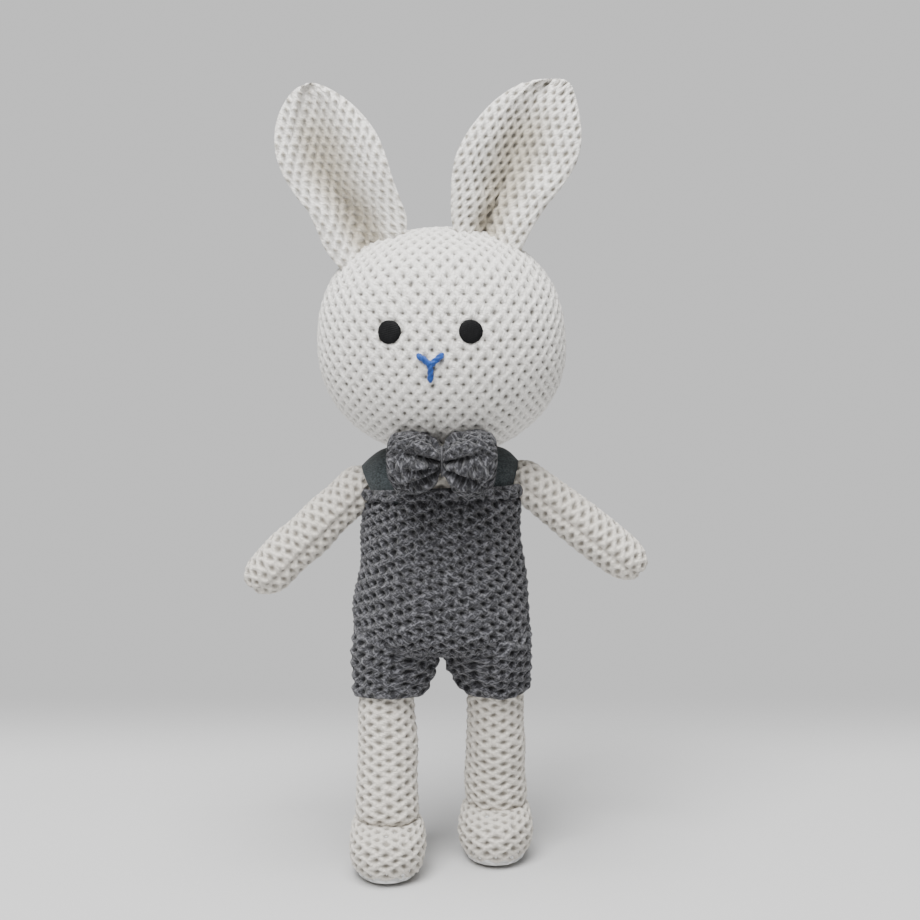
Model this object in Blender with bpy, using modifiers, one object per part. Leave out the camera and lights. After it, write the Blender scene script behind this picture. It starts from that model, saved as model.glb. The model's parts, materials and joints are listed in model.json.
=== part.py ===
"""Knitted stuffed rabbit: sewn panels over stuffing, with overalls, straps, bow tie and booties.

The rabbit stands on its soles at z = 0 and looks towards -Y. Its left_ pieces lie at -X.
Soft pieces are stated as closed solids: knit panels are thin walls, and stuffing fills them.
"""
import math

import bmesh
import bpy
from mathutils import Matrix, Vector

# Cloth and clearances
GAP = 0.0003
KNIT = 0.0013
FELT = 0.0012
TURN_ROOM = 0.0006
SIDES = 20

# Head
HEAD_MIDDLE = 0.257
HEAD_HALF_WIDTH = 0.0587
HEAD_HALF_DEPTH = 0.052
HEAD_CROWN = 0.055
HEAD_CHIN = 0.052
HEAD_BASE = 0.2073
HEAD_SIDES = 28
NECK_HOLE = 0.0035
NOD_HEIGHT = 0.203
EYE_RADIUS = 0.0056
EYE_HEIGHT = 0.2685
LEFT_EYE_X = -0.0232
RIGHT_EYE_X = 0.0138
STITCH_DEPTH = 0.0010
NOSE_X = -0.0045
NOSE_TOP = 0.2590

# Ears
EAR_LENGTH = 0.0757
EAR_HALF_WIDTH = 0.0226
EAR_HALF_THICKNESS = 0.0042
EAR_CUP = 0.0070
EAR_LIFT = 0.0046
EAR_CLEARANCE = 0.0026
EAR_Y = 0.004
WADDING_SHARE = 0.8

# Torso, overalls and straps
TORSO_TOP = 0.2042
TORSO_DEPTH = 0.75
OVERALLS_TOP = 0.1885
OVERALLS_CLOTH = 0.0015
STRAP_INNER = 0.0205
STRAP_OUTER = 0.0372
CROTCH_HALF_WIDTH = 0.0094

# Arms
ARM_LENGTH = 0.0715
ARM_ROOT = 0.0094
ARM_RELIEF = 0.0150
ARM_FLAT = 0.0065
THREAD = 0.0005
THREAD_POCKET = 0.0045
POCKET_DEPTH = 0.0022

# Legs and booties
HIP_HEIGHT = 0.112
HIP_X = 0.0265
LEG_ROOT = 0.0132
SHORTS_RADIUS = 0.0164
SHORTS_LENGTH = 0.0240
FOOT_HALF_WIDTH = 0.0177
FOOT_STRETCH = 1.30
FOOT_HEIGHT = 0.0280
FOOT_FORWARD = 0.006
ANKLE_HOLE = 0.0080
SOLE_SHARE = 0.80
SOLE_CLOTH = 0.0015
STANCE = 0.012

# Bow tie
BOW_X = 0.0005
BOW_HEIGHT = 0.2085
BOW_Y = -0.0420
BOW_TILT = math.radians(14)
BOW_ROOM = 0.0024
BOW_FLATNESS = 0.52
PINCH_RADIUS = 0.0072
PINCH_FLATNESS = 0.56


def new_collection(name, hidden):
    """Make a collection under the scene, hidden from the render if it holds cutters."""
    made = bpy.data.collections.new(name)
    bpy.context.scene.collection.children.link(made)
    made.hide_render = hidden
    return made


def knit_material(name, colour, roughness):
    """A plain cloth, thread or stuffing finish."""
    made = bpy.data.materials.new(name)
    made.use_nodes = True
    shader = made.node_tree.nodes["Principled BSDF"]
    shader.inputs["Base Color"].default_value = (*colour, 1)
    shader.inputs["Roughness"].default_value = roughness
    shader.inputs["Metallic"].default_value = 0
    return made


def add(name, mesh, finish=None):
    """Put a mesh in the scene as a part, or as a cutter when it has no finish."""
    made = bpy.data.objects.new(name, mesh)
    if finish:
        mesh.materials.clear()
        mesh.materials.append(finish)
        PARTS.objects.link(made)
    else:
        made.hide_render = True
        made.display_type = "WIRE"
        CUTTERS.objects.link(made)
    return made


def turned(name, profile, sides, place, stretch=1, finish=None):
    """Turn a profile of (radius, height) points, top to bottom, then stretch it along Y."""
    outline = bpy.data.meshes.new(name + "_outline")
    edges = [(n, n + 1) for n in range(len(profile) - 1)]
    outline.from_pydata([(radius, 0, height) for radius, height in profile], edges, [])
    guide = bpy.data.objects.new(name + "_outline", outline)
    CUTTERS.objects.link(guide)
    screw = guide.modifiers.new("turn", "SCREW")
    screw.steps = screw.render_steps = sides
    screw.use_merge_vertices = True
    screw.merge_threshold = 0.00001
    bpy.context.view_layer.update()
    ready = guide.evaluated_get(bpy.context.evaluated_depsgraph_get())
    mesh = bpy.data.meshes.new_from_object(ready)
    bpy.data.objects.remove(guide)
    work = bmesh.new()
    work.from_mesh(mesh)
    bmesh.ops.remove_doubles(work, verts=work.verts, dist=0.00001)
    bmesh.ops.recalc_face_normals(work, faces=work.faces)
    work.to_mesh(mesh)
    work.free()
    mesh.transform(place @ Matrix.Diagonal((1, stretch, 1, 1)))
    mesh.shade_smooth()
    return add(name, mesh, finish)


def prism(name, outline, low, high):
    """A block whose (y, z) outline runs along X from low to high."""
    work = bmesh.new()
    rim = [work.verts.new((low, y, z)) for y, z in outline]
    face = work.faces.new(rim)
    grown = bmesh.ops.extrude_face_region(work, geom=[face])
    moved = [part for part in grown["geom"] if isinstance(part, bmesh.types.BMVert)]
    bmesh.ops.translate(work, vec=(high - low, 0, 0), verts=moved)
    bmesh.ops.recalc_face_normals(work, faces=work.faces)
    mesh = bpy.data.meshes.new(name)
    work.to_mesh(mesh)
    work.free()
    return add(name, mesh)


def box(name, low, high):
    """A cutter block between two corners."""
    outline = [(low[1], low[2]), (high[1], low[2]), (high[1], high[2]), (low[1], high[2])]
    return prism(name, outline, low[0], high[0])


def rod(name, radius, length, place, sides=SIDES):
    """A cylinder that starts at place and runs along its local Z."""
    work = bmesh.new()
    bmesh.ops.create_cone(work, cap_ends=True, segments=sides, radius1=radius, radius2=radius, depth=length)
    bmesh.ops.translate(work, vec=(0, 0, length / 2), verts=work.verts)
    mesh = bpy.data.meshes.new(name)
    work.to_mesh(mesh)
    work.free()
    mesh.transform(place)
    return add(name, mesh)


def shape(target, tool, operation="DIFFERENCE"):
    """Cut a part with a tool, or keep only what they share."""
    change = target.modifiers.new(tool.name[:50], "BOOLEAN")
    change.operation = operation
    change.object = tool
    change.solver = "EXACT"


def thread_ring(name, radius, place):
    """A closed loop of sewing thread about its local Z."""
    bpy.ops.mesh.primitive_torus_add(major_radius=radius, minor_radius=THREAD,
                                     major_segments=14, minor_segments=6)
    made = bpy.context.object
    mesh = made.data
    bpy.data.objects.remove(made)
    mesh.transform(place)
    mesh.name = name
    mesh.shade_smooth()
    return add(name, mesh, THREAD_FINISH)


def hang(pivot_name, place, pieces):
    """Parent pieces to an empty on their joint's axis, without moving them."""
    pivot = bpy.data.objects.new(pivot_name, None)
    pivot.location = place
    PARTS.objects.link(pivot)
    for piece in pieces:
        piece.parent = pivot
        piece.matrix_parent_inverse = Matrix.Translation(place).inverted()


def grown(profile, amount):
    """Move every point of a turned profile out along its own normal, keeping its ends on the axis."""
    moved = []
    for n, (radius, height) in enumerate(profile):
        before = Vector(profile[max(n - 1, 0)])
        after = Vector(profile[min(n + 1, len(profile) - 1)])
        along = (after - before).normalized()
        if radius == 0:
            along = Vector((1, 0)) if n == 0 else Vector((-1, 0))
        moved.append((max(radius - along.y * amount, 0), height + along.x * amount))
    return moved


def head_profile():
    """Half outline of the head: a full crown above the middle and a flat gathered base."""
    outline = [(0, HEAD_MIDDLE + HEAD_CROWN)]
    for n in range(1, 8):
        turn = math.radians(n * 90 / 7)
        rise = math.cos(turn)
        fullness = (1 - rise ** 2.3) ** (1 / 2.3)
        outline.append((HEAD_HALF_WIDTH * fullness, HEAD_MIDDLE + HEAD_CROWN * rise))
    lowest = (HEAD_MIDDLE - HEAD_BASE) / HEAD_CHIN
    for n in range(1, 7):
        drop = math.sin(n * math.asin(lowest) / 6)
        outline.append((HEAD_HALF_WIDTH * math.sqrt(1 - drop ** 2), HEAD_MIDDLE - HEAD_CHIN * drop))
    return outline + [(0, HEAD_BASE)]


def torso_profile():
    """Half outline of the torso skin, from the neck over the shoulders to the crotch."""
    return [(0, TORSO_TOP), (0.020, 0.2039), (0.0295, 0.2012), (0.0342, 0.1950), (0.0350, 0.1850),
            (0.0362, 0.1650), (0.0393, 0.1400), (0.0398, 0.1260), (0.0340, 0.1140), (0.0180, 0.1106), (0, 0.1104)]


def limb_profile(root, points):
    """Half outline of a limb about its joint: a round root at the top, then the given points."""
    bow = [math.radians(90 - 90 * n / 4) for n in range(4)]
    return [(root * math.cos(a) if n else 0, root * math.sin(a)) for n, a in enumerate(bow)] + points


def head_radius_at(height):
    """How far the head reaches from its middle, as a share of its half width."""
    rise = height - HEAD_MIDDLE
    if rise > 0:
        return (1 - (rise / HEAD_CROWN) ** 2.3) ** (1 / 2.3)
    return math.sqrt(1 - (rise / HEAD_CHIN) ** 2)


def on_face(x, height):
    """The point and outward direction on the head's front at x and height."""
    share = head_radius_at(height)
    y = -HEAD_HALF_DEPTH * math.sqrt(share ** 2 - (x / HEAD_HALF_WIDTH) ** 2)
    rise = height - HEAD_MIDDLE
    reach = HEAD_CROWN if rise > 0 else HEAD_CHIN
    out = Vector((x / HEAD_HALF_WIDTH ** 2, y / HEAD_HALF_DEPTH ** 2, rise / reach ** 2)).normalized()
    return Vector((x, y, height)), out


def build_head():
    """Front and back head panels, the stuffing ball, the eyes and the sewn nose and mouth."""
    profile = head_profile()
    depth = HEAD_HALF_DEPTH / HEAD_HALF_WIDTH
    lining = turned("head_lining", grown(profile, -KNIT), HEAD_SIDES, Matrix(), depth)
    neck = rod("neck_hole", NECK_HOLE, 0.012, Matrix.Translation((0, 0, HEAD_BASE - 0.006)), 12)
    behind = box("behind_seam", (-0.1, -GAP / 2, 0.15), (0.1, 0.1, 0.35))
    before = box("before_seam", (-0.1, -0.1, 0.15), (0.1, GAP / 2, 0.35))
    pieces = []
    for name, away in (("head_front_panel", behind), ("head_back_panel", before)):
        panel = turned(name, profile, HEAD_SIDES, Matrix(), depth, WHITE_KNIT)
        for tool in (lining, neck, away):
            shape(panel, tool)
        pieces.append(panel)
    core = grown(profile, -KNIT - GAP)
    pieces.append(turned("head_stuffing", core, HEAD_SIDES // 2, Matrix(), depth, STUFFING))

    for name, x in (("left_eye", LEFT_EYE_X), ("right_eye", RIGHT_EYE_X)):
        spot, out = on_face(x, EYE_HEIGHT)
        place = Matrix.Translation(spot + out * GAP) @ out.to_track_quat("Z", "Y").to_matrix().to_4x4()
        dome = [(0, 0.0015), (EYE_RADIUS * 0.7, 0.0012), (EYE_RADIUS, 0.0005), (EYE_RADIUS, 0), (0, 0)]
        pieces.append(turned(name, dome, 14, place, 1, BLACK_THREAD))
    pieces.append(build_nose())
    return pieces


def build_nose():
    """The sewn Y: two short arms and a stem, 2 mm wide, lying on the face."""
    half = 0.0010
    fork = NOSE_TOP - 0.0050
    foot = fork - 0.0076
    reach = 0.0062
    outline = [(-reach - half, NOSE_TOP), (-reach + half, NOSE_TOP + half), (0, fork + 2 * half),
               (reach - half, NOSE_TOP + half), (reach + half, NOSE_TOP), (half, fork - half),
               (half, foot), (-half, foot), (-half, fork - half)]
    flat = bpy.data.curves.new("nose_outline", "CURVE")
    flat.dimensions = "2D"
    flat.fill_mode = "BOTH"
    flat.extrude = 0.004
    line = flat.splines.new("POLY")
    line.points.add(len(outline) - 1)
    for point, (x, height) in zip(line.points, outline):
        point.co = (x, height, 0, 1)
    line.use_cyclic_u = True
    guide = bpy.data.objects.new("nose_outline", flat)
    spot, _ = on_face(NOSE_X, fork)
    guide.matrix_world = Matrix.Translation((NOSE_X, spot.y, 0)) @ Matrix.Rotation(math.pi / 2, 4, "X")
    CUTTERS.objects.link(guide)
    bpy.context.view_layer.update()
    ready = guide.evaluated_get(bpy.context.evaluated_depsgraph_get())
    mesh = bpy.data.meshes.new_from_object(ready)
    mesh.transform(guide.matrix_world)
    bpy.data.objects.remove(guide)
    work = bmesh.new()
    work.from_mesh(mesh)
    bmesh.ops.remove_doubles(work, verts=work.verts, dist=0.00001)
    bmesh.ops.recalc_face_normals(work, faces=work.faces)
    work.to_mesh(mesh)
    work.free()
    nose = add("nose_mouth_stitch", mesh, BLUE_THREAD)
    depth = HEAD_HALF_DEPTH / HEAD_HALF_WIDTH
    under = turned("under_nose", grown(head_profile(), GAP), HEAD_SIDES * 2, Matrix(), depth)
    over = turned("over_nose", grown(head_profile(), GAP + STITCH_DEPTH), HEAD_SIDES * 2, Matrix(), depth)
    shape(nose, over, "INTERSECT")
    shape(nose, under)
    return nose


def ear_point(u, v, layer):
    """A point of the ear in its own frame: v from base to tip, u across, layer through it."""
    above = max(v, 0)
    across = u * (math.sqrt(1 - v * v / 2) if v > 0 else 1 - 0.25 * v * v)
    along = above * math.sqrt(1 - u * u / 2) + min(v, 0)
    share = (along + 1) / 2
    taper = 0.86 + 0.50 * share - 0.45 * share ** 2
    rim = min(max(abs(u), abs(v)), 1) ** 2
    x = across * EAR_HALF_WIDTH * taper
    cup = EAR_CUP * (x / EAR_HALF_WIDTH) ** 2 * (1 - 0.25 * share)
    puff = EAR_HALF_THICKNESS * (1 - rim ** 2)
    least = KNIT / 2 + GAP / 2
    return Vector((x, -cup + layer * max(puff, least), EAR_LENGTH * share))


def ear_sheet(name, layer, place):
    """One knit panel of an ear: a leaf-shaped cupped sheet with thickness."""
    work = bmesh.new()
    bmesh.ops.create_grid(work, x_segments=6, y_segments=9, size=1)
    for vert in work.verts:
        vert.co = ear_point(vert.co.x, vert.co.y, layer)
    mesh = bpy.data.meshes.new(name)
    work.to_mesh(mesh)
    work.free()
    mesh.transform(place)
    mesh.shade_smooth()
    made = add(name, mesh, WHITE_KNIT)
    wall = made.modifiers.new("wall", "SOLIDIFY")
    wall.thickness = KNIT
    wall.offset = 0
    return made


def ear_wadding(name, place):
    """The thin wadding between an ear's two panels."""
    work = bmesh.new()
    bmesh.ops.create_uvsphere(work, u_segments=12, v_segments=8, radius=1)
    share = (EAR_HALF_THICKNESS - KNIT / 2 - GAP) / EAR_HALF_THICKNESS
    for vert in work.verts:
        rim = math.hypot(vert.co.x, vert.co.z) * WADDING_SHARE
        middle = ear_point(vert.co.x * WADDING_SHARE, vert.co.z * WADDING_SHARE, 0)
        room = (EAR_HALF_THICKNESS * (1 - rim ** 4) * share - 2 * GAP) * WADDING_SHARE
        vert.co = middle + Vector((0, vert.co.y * room, 0))
    mesh = bpy.data.meshes.new(name)
    work.to_mesh(mesh)
    work.free()
    mesh.transform(place)
    mesh.shade_smooth()
    return add(name, mesh, STUFFING)


def build_ear(side, base_x, lean):
    """An ear: front and back panels with wadding, leaning outwards from the crown."""
    share = math.sqrt(1 - (base_x / HEAD_HALF_WIDTH) ** 2)
    base = Vector((base_x, EAR_Y, HEAD_MIDDLE + HEAD_CROWN * share ** 0.86 + EAR_CLEARANCE))
    place = Matrix.Translation(base) @ Matrix.Rotation(lean, 4, "Y")
    pieces = [ear_sheet(side + "_ear_front_panel", -1, place), ear_sheet(side + "_ear_back_panel", 1, place),
              ear_wadding(side + "_ear_wadding", place)]
    hang(side + "_ear_pivot", place @ Vector((0, 0, EAR_LIFT)), pieces)


def shoulder_room(side, place, inward):
    """The hollows in the body that let an arm swing and lift: a ball, a thread pocket and a flat."""
    ball = [((ARM_ROOT + 2 * TURN_ROOM) * math.sin(math.radians(a)),
             (ARM_ROOT + 2 * TURN_ROOM) * math.cos(math.radians(a))) for a in range(0, 181, 20)]
    ball[0] = (0, ball[0][1])
    ball[-1] = (0, ball[-1][1])
    along = Matrix.Rotation(inward * math.pi / 2, 4, "Y")
    hollow = turned(side + "_shoulder_hollow", ball, 16, Matrix.Translation(place) @ along)
    pocket = rod(side + "_thread_pocket", THREAD_POCKET, ARM_ROOT + POCKET_DEPTH, Matrix.Translation(place) @ along, 12)
    flat = Vector((place.x + inward * ARM_FLAT, 0, place.z))
    relief = rod(side + "_arm_relief", ARM_RELIEF, 0.02, Matrix.Translation(flat) @ along.inverted(), 16)
    return [hollow, pocket, relief]


def leg_room(side, outward):
    """The space that a leg sweeps from hanging to sitting, taken out of the body's underside."""
    reach = SHORTS_RADIUS + TURN_ROOM + GAP
    arc = [(reach * math.cos(math.radians(a)), HIP_HEIGHT + reach * math.sin(math.radians(a)))
           for a in range(0, 91, 10)]
    outline = [(-0.08, 0.06), (0.08, 0.06), (0.08, HIP_HEIGHT), *arc, (-0.08, HIP_HEIGHT + reach)]
    near, far = sorted((outward * CROTCH_HALF_WIDTH, outward * 0.06))
    return prism(side + "_leg_room", outline, near, far)


def build_body(rooms):
    """Torso skin and stuffing, overalls panels and shoulder straps."""
    profile = torso_profile()
    lining = turned("torso_lining", grown(profile, -KNIT), SIDES, Matrix(), TORSO_DEPTH)
    neck = rod("torso_neck_hole", NECK_HOLE, 0.012, Matrix.Translation((0, 0, TORSO_TOP - 0.006)), 12)
    behind = box("behind_side_seam", (-0.1, -GAP / 2, 0.05), (0.1, 0.1, 0.25))
    before = box("before_side_seam", (-0.1, -0.1, 0.05), (0.1, GAP / 2, 0.25))
    halves = (("front", behind), ("back", before))
    for half, away in halves:
        skin = turned("torso_" + half + "_skin", profile, SIDES, Matrix(), TORSO_DEPTH, WHITE_KNIT)
        for tool in (lining, neck, away, *rooms):
            shape(skin, tool)
    core = turned("torso_stuffing", grown(profile, -KNIT - GAP), SIDES, Matrix(), TORSO_DEPTH, STUFFING)
    for tool in rooms:
        shape(core, tool)

    inside = turned("overalls_inside", grown(profile, 1.5 * GAP), SIDES, Matrix(), TORSO_DEPTH)
    above = box("above_overalls", (-0.1, -0.1, OVERALLS_TOP), (0.1, 0.1, 0.25))
    for half, away in halves:
        panel = turned("overalls_" + half, grown(profile, GAP + OVERALLS_CLOTH), SIDES, Matrix(),
                       TORSO_DEPTH, GREY_KNIT)
        for tool in (inside, above, away, *rooms):
            shape(panel, tool)

    for side, sign in (("left", -1), ("right", 1)):
        near, far = sorted((sign * STRAP_INNER, sign * STRAP_OUTER))
        band = box(side + "_strap_band", (near, -0.1, OVERALLS_TOP + GAP), (far, 0.1, 0.25))
        strap = turned(side + "_strap", grown(profile, GAP + FELT), SIDES, Matrix(), TORSO_DEPTH, GREY_FELT)
        shape(strap, inside)
        shape(strap, band, "INTERSECT")
        for tool in rooms:
            if tool.name.startswith(side) and "leg" not in tool.name:
                shape(strap, tool)
    thread_ring("neck_thread", 0.0050, Matrix.Translation((0, 0, TORSO_TOP + GAP + 0.0007)))


def build_arm(side, place, inward, droop):
    """An arm from its rounded root, with a stitched ring that holds it to the torso."""
    outline = limb_profile(ARM_ROOT, [(0.0096, -0.012), (0.0101, -0.032), (0.0107, -0.050), (0.0102, -0.0605),
                                      (0.0076, -0.0680), (0.0035, -0.0709), (0, -ARM_LENGTH)])
    lean = Matrix.Translation(place) @ Matrix.Rotation(inward * (math.pi / 2 - droop), 4, "Y")
    skin = turned(side + "_arm_skin", outline, 14, lean, 1, WHITE_KNIT)
    shape(skin, turned(side + "_arm_lining", grown(outline, -KNIT), 14, lean))
    shape(skin, rod(side + "_arm_hole", 0.0030, 0.006, lean @ Matrix.Translation((0, 0, ARM_ROOT - 0.004)), 10))
    core = turned(side + "_arm_stuffing", grown(outline, -KNIT - GAP), 14, lean, 1, STUFFING)
    along = Matrix.Rotation(math.pi / 2, 4, "Y")
    ring_x = place.x + inward * (ARM_ROOT + 0.0011)
    ring = thread_ring(side + "_shoulder_thread", 0.0036, Matrix.Translation((ring_x, place.y, place.z)) @ along)
    hang(side + "_shoulder_pivot", place, [skin, core, ring])


def foot_profile():
    """Half outline of a bootie: a low dome over a flat sole."""
    width = FOOT_HALF_WIDTH
    return [(0, FOOT_HEIGHT), (0.40 * width, 0.0276), (0.72 * width, 0.0257), (0.92 * width, 0.0200),
            (width, 0.0115), (0.97 * width, 0.0045), (0.88 * width, 0.0008), (SOLE_SHARE * width, 0), (0, 0)]


def build_leg(side, outward, step):
    """A leg, its bootie and the leg of the overalls round it; step is how far its foot stands forward."""
    hip = Vector((outward * HIP_X, 0, HIP_HEIGHT))
    lean = Matrix.Translation(hip) @ Matrix.Rotation(-math.atan2(step, HIP_HEIGHT - FOOT_HEIGHT), 4, "X")
    outline = limb_profile(LEG_ROOT, [(LEG_ROOT, 0), (0.0131, -0.024), (0.0136, -0.055), (0.0141, -0.080),
                                      (0.0141, -0.098), (0, -0.098)])
    foot_place = Matrix.Translation((hip.x, -step - FOOT_FORWARD, 0))
    dome = foot_profile()
    past_foot = turned(side + "_past_foot", grown(dome[:-2], GAP) + [(0, -0.001)], 16, foot_place, FOOT_STRETCH)
    skin = turned(side + "_leg_skin", outline, 14, lean, 1, WHITE_KNIT)
    shape(skin, turned(side + "_leg_lining", grown(outline, -KNIT), 14, lean))
    shape(skin, past_foot)
    core = turned(side + "_leg_stuffing", grown(outline, -KNIT - GAP), 14, lean, 1, STUFFING)
    shape(core, past_foot)

    upper = turned(side + "_bootie_upper", dome, 16, foot_place, FOOT_STRETCH, WHITE_KNIT)
    shape(upper, turned(side + "_bootie_lining", grown(dome, -KNIT), 16, foot_place, FOOT_STRETCH))
    ankle = Matrix.Translation((hip.x, -step, FOOT_HEIGHT - 0.010))
    shape(upper, rod(side + "_ankle_hole", ANKLE_HOLE, 0.02, ankle, 12))
    edge = SOLE_SHARE * FOOT_HALF_WIDTH - GAP
    under = [(0, SOLE_CLOTH + GAP), (edge, SOLE_CLOTH + GAP), (edge, -0.002), (0, -0.002)]
    shape(upper, turned(side + "_sole_hole", under, 16, foot_place, FOOT_STRETCH))
    flat = [(0, SOLE_CLOTH), (edge - GAP, SOLE_CLOTH), (edge - GAP, 0), (0, 0)]
    sole = turned(side + "_bootie_sole", flat, 16, foot_place, FOOT_STRETCH, WHITE_KNIT)
    fill = turned(side + "_bootie_stuffing", grown(dome, -KNIT - GAP), 16, foot_place, FOOT_STRETCH, STUFFING)
    shape(fill, turned(side + "_over_sole", [(0, SOLE_CLOTH + GAP), (0.03, SOLE_CLOTH + GAP), (0.03, -0.002),
                                             (0, -0.002)], 16, foot_place, FOOT_STRETCH))

    tube = limb_profile(SHORTS_RADIUS, [(SHORTS_RADIUS, 0), (0.0165, -SHORTS_LENGTH), (0, -SHORTS_LENGTH)])
    shorts = turned(side + "_shorts_leg", tube, 18, lean, 1, GREY_KNIT)
    inner = grown(tube, -OVERALLS_CLOTH)[:-2] + [(0.0150, -SHORTS_LENGTH - 0.002), (0, -SHORTS_LENGTH - 0.002)]
    shape(shorts, turned(side + "_shorts_inside", inner, 18, lean))
    hang(side + "_hip_pivot", hip, [skin, core, upper, sole, fill, shorts])


def build_bow():
    """The bow tie: one puffed tube of knit pinched at its middle by a thread."""
    half = [(0, 0.0257), (0.0080, 0.0252), (0.0130, 0.0225), (0.0143, 0.0165), (0.0125, 0.0095), (0.0085, 0.0040),
            (0.0062, 0.0015)]
    outline = half + [(radius, -height) for radius, height in reversed(half)]
    place = (Matrix.Translation((BOW_X, BOW_Y, BOW_HEIGHT)) @ Matrix.Rotation(BOW_TILT, 4, "X")
             @ Matrix.Rotation(math.pi / 2, 4, "Y"))
    bow = turned("bow_tie", outline, 16, place, BOW_FLATNESS, GREY_KNIT)
    depth = HEAD_HALF_DEPTH / HEAD_HALF_WIDTH
    shape(bow, turned("chin_room", grown(head_profile(), BOW_ROOM), HEAD_SIDES, Matrix(), depth))
    thread_ring("bow_thread", PINCH_RADIUS, place @ Matrix.Diagonal((1, PINCH_FLATNESS, 1, 1)))


for old in list(bpy.data.objects):
    bpy.data.objects.remove(old)
PARTS = new_collection("stuffed_rabbit", False)
CUTTERS = new_collection("cutters", True)
WHITE_KNIT = knit_material("white_knit", (0.75, 0.72, 0.67), 0.95)
GREY_KNIT = knit_material("grey_marl_knit", (0.12, 0.12, 0.13), 0.95)
GREY_FELT = knit_material("grey_felt", (0.05, 0.07, 0.07), 0.9)
STUFFING = knit_material("polyester_stuffing", (0.85, 0.85, 0.85), 1.0)
BLACK_THREAD = knit_material("black_thread", (0.01, 0.01, 0.012), 0.6)
BLUE_THREAD = knit_material("blue_thread", (0.04, 0.14, 0.50), 0.6)
THREAD_FINISH = knit_material("sewing_thread", (0.7, 0.68, 0.63), 0.8)

LEFT_SHOULDER = Vector((-0.0405, 0, 0.1885))
RIGHT_SHOULDER = Vector((0.0405, 0, 0.1915))
body_rooms = [*shoulder_room("left", LEFT_SHOULDER, 1), *shoulder_room("right", RIGHT_SHOULDER, -1),
              leg_room("left", -1), leg_room("right", 1)]
build_body(body_rooms)
hang("neck_pivot", (0, 0, NOD_HEIGHT), build_head())
build_ear("left", -0.0315, math.radians(-25.5))
build_ear("right", 0.0225, math.radians(23.0))
build_arm("left", LEFT_SHOULDER, 1, math.radians(43.5))
build_arm("right", RIGHT_SHOULDER, -1, math.radians(38.5))
build_leg("left", -1, STANCE)
build_leg("right", 1, -STANCE)
build_bow()
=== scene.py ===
"""Knitted stuffed rabbit: the finished look of every piece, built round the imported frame."""
import json
import math

import bpy
import numpy as np
from bpy.props import FloatProperty, FloatVectorProperty, PointerProperty
from mathutils import Matrix, Vector


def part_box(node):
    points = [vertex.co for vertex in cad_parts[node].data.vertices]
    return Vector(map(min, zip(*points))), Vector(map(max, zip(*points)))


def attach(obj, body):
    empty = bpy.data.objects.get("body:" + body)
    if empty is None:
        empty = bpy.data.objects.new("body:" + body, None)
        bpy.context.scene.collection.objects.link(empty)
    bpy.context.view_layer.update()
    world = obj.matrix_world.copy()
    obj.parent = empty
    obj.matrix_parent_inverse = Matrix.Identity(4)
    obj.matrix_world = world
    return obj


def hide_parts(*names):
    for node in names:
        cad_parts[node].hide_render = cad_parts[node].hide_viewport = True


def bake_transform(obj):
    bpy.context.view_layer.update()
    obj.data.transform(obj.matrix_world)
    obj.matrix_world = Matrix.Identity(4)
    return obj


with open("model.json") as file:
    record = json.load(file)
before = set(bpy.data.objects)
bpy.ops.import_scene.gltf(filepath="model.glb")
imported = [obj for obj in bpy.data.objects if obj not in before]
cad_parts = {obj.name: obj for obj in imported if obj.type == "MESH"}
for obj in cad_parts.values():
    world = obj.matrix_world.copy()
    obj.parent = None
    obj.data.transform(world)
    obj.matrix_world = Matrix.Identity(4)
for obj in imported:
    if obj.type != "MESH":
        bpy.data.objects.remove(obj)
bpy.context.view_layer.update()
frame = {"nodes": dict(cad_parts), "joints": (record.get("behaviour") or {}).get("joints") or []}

bl_info = {
    "name": "Knitted Rabbit",
    "version": (1, 0, 0),
    "blender": (4, 5, 0),
    "location": "3D View > Sidebar > Rabbit",
    "description": "Models a stuffed rabbit in openwork knit with overalls and a bow tie",
    "category": "Add Mesh",
}

JOINTS = {joint["name"]: joint for joint in frame["joints"]}
TURN = 2 * math.pi
SIDES = (("left", -1), ("right", 1))


# Sizes and colours

def length(name, default, description):
    """A size in metres for the panel."""
    return FloatProperty(name=name, default=default, description=description, unit="LENGTH", precision=4)


def pitch(name, default, description):
    """Across and along spacing of a knit's holes, in metres."""
    return FloatVectorProperty(name=name, size=2, default=default, description=description, unit="LENGTH",
                               precision=4)


def hole(name, default):
    """Radius, half edge width (metres) and height squash of a knit's holes."""
    return FloatVectorProperty(name=name, size=3, default=default, precision=4,
                               description="Radius, half width of the edge, and squash of the holes")


def colour(name, default, description):
    """A colour for the panel."""
    return FloatVectorProperty(name=name, size=3, default=default, description=description, subtype="COLOR",
                               min=0, max=1)


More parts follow.
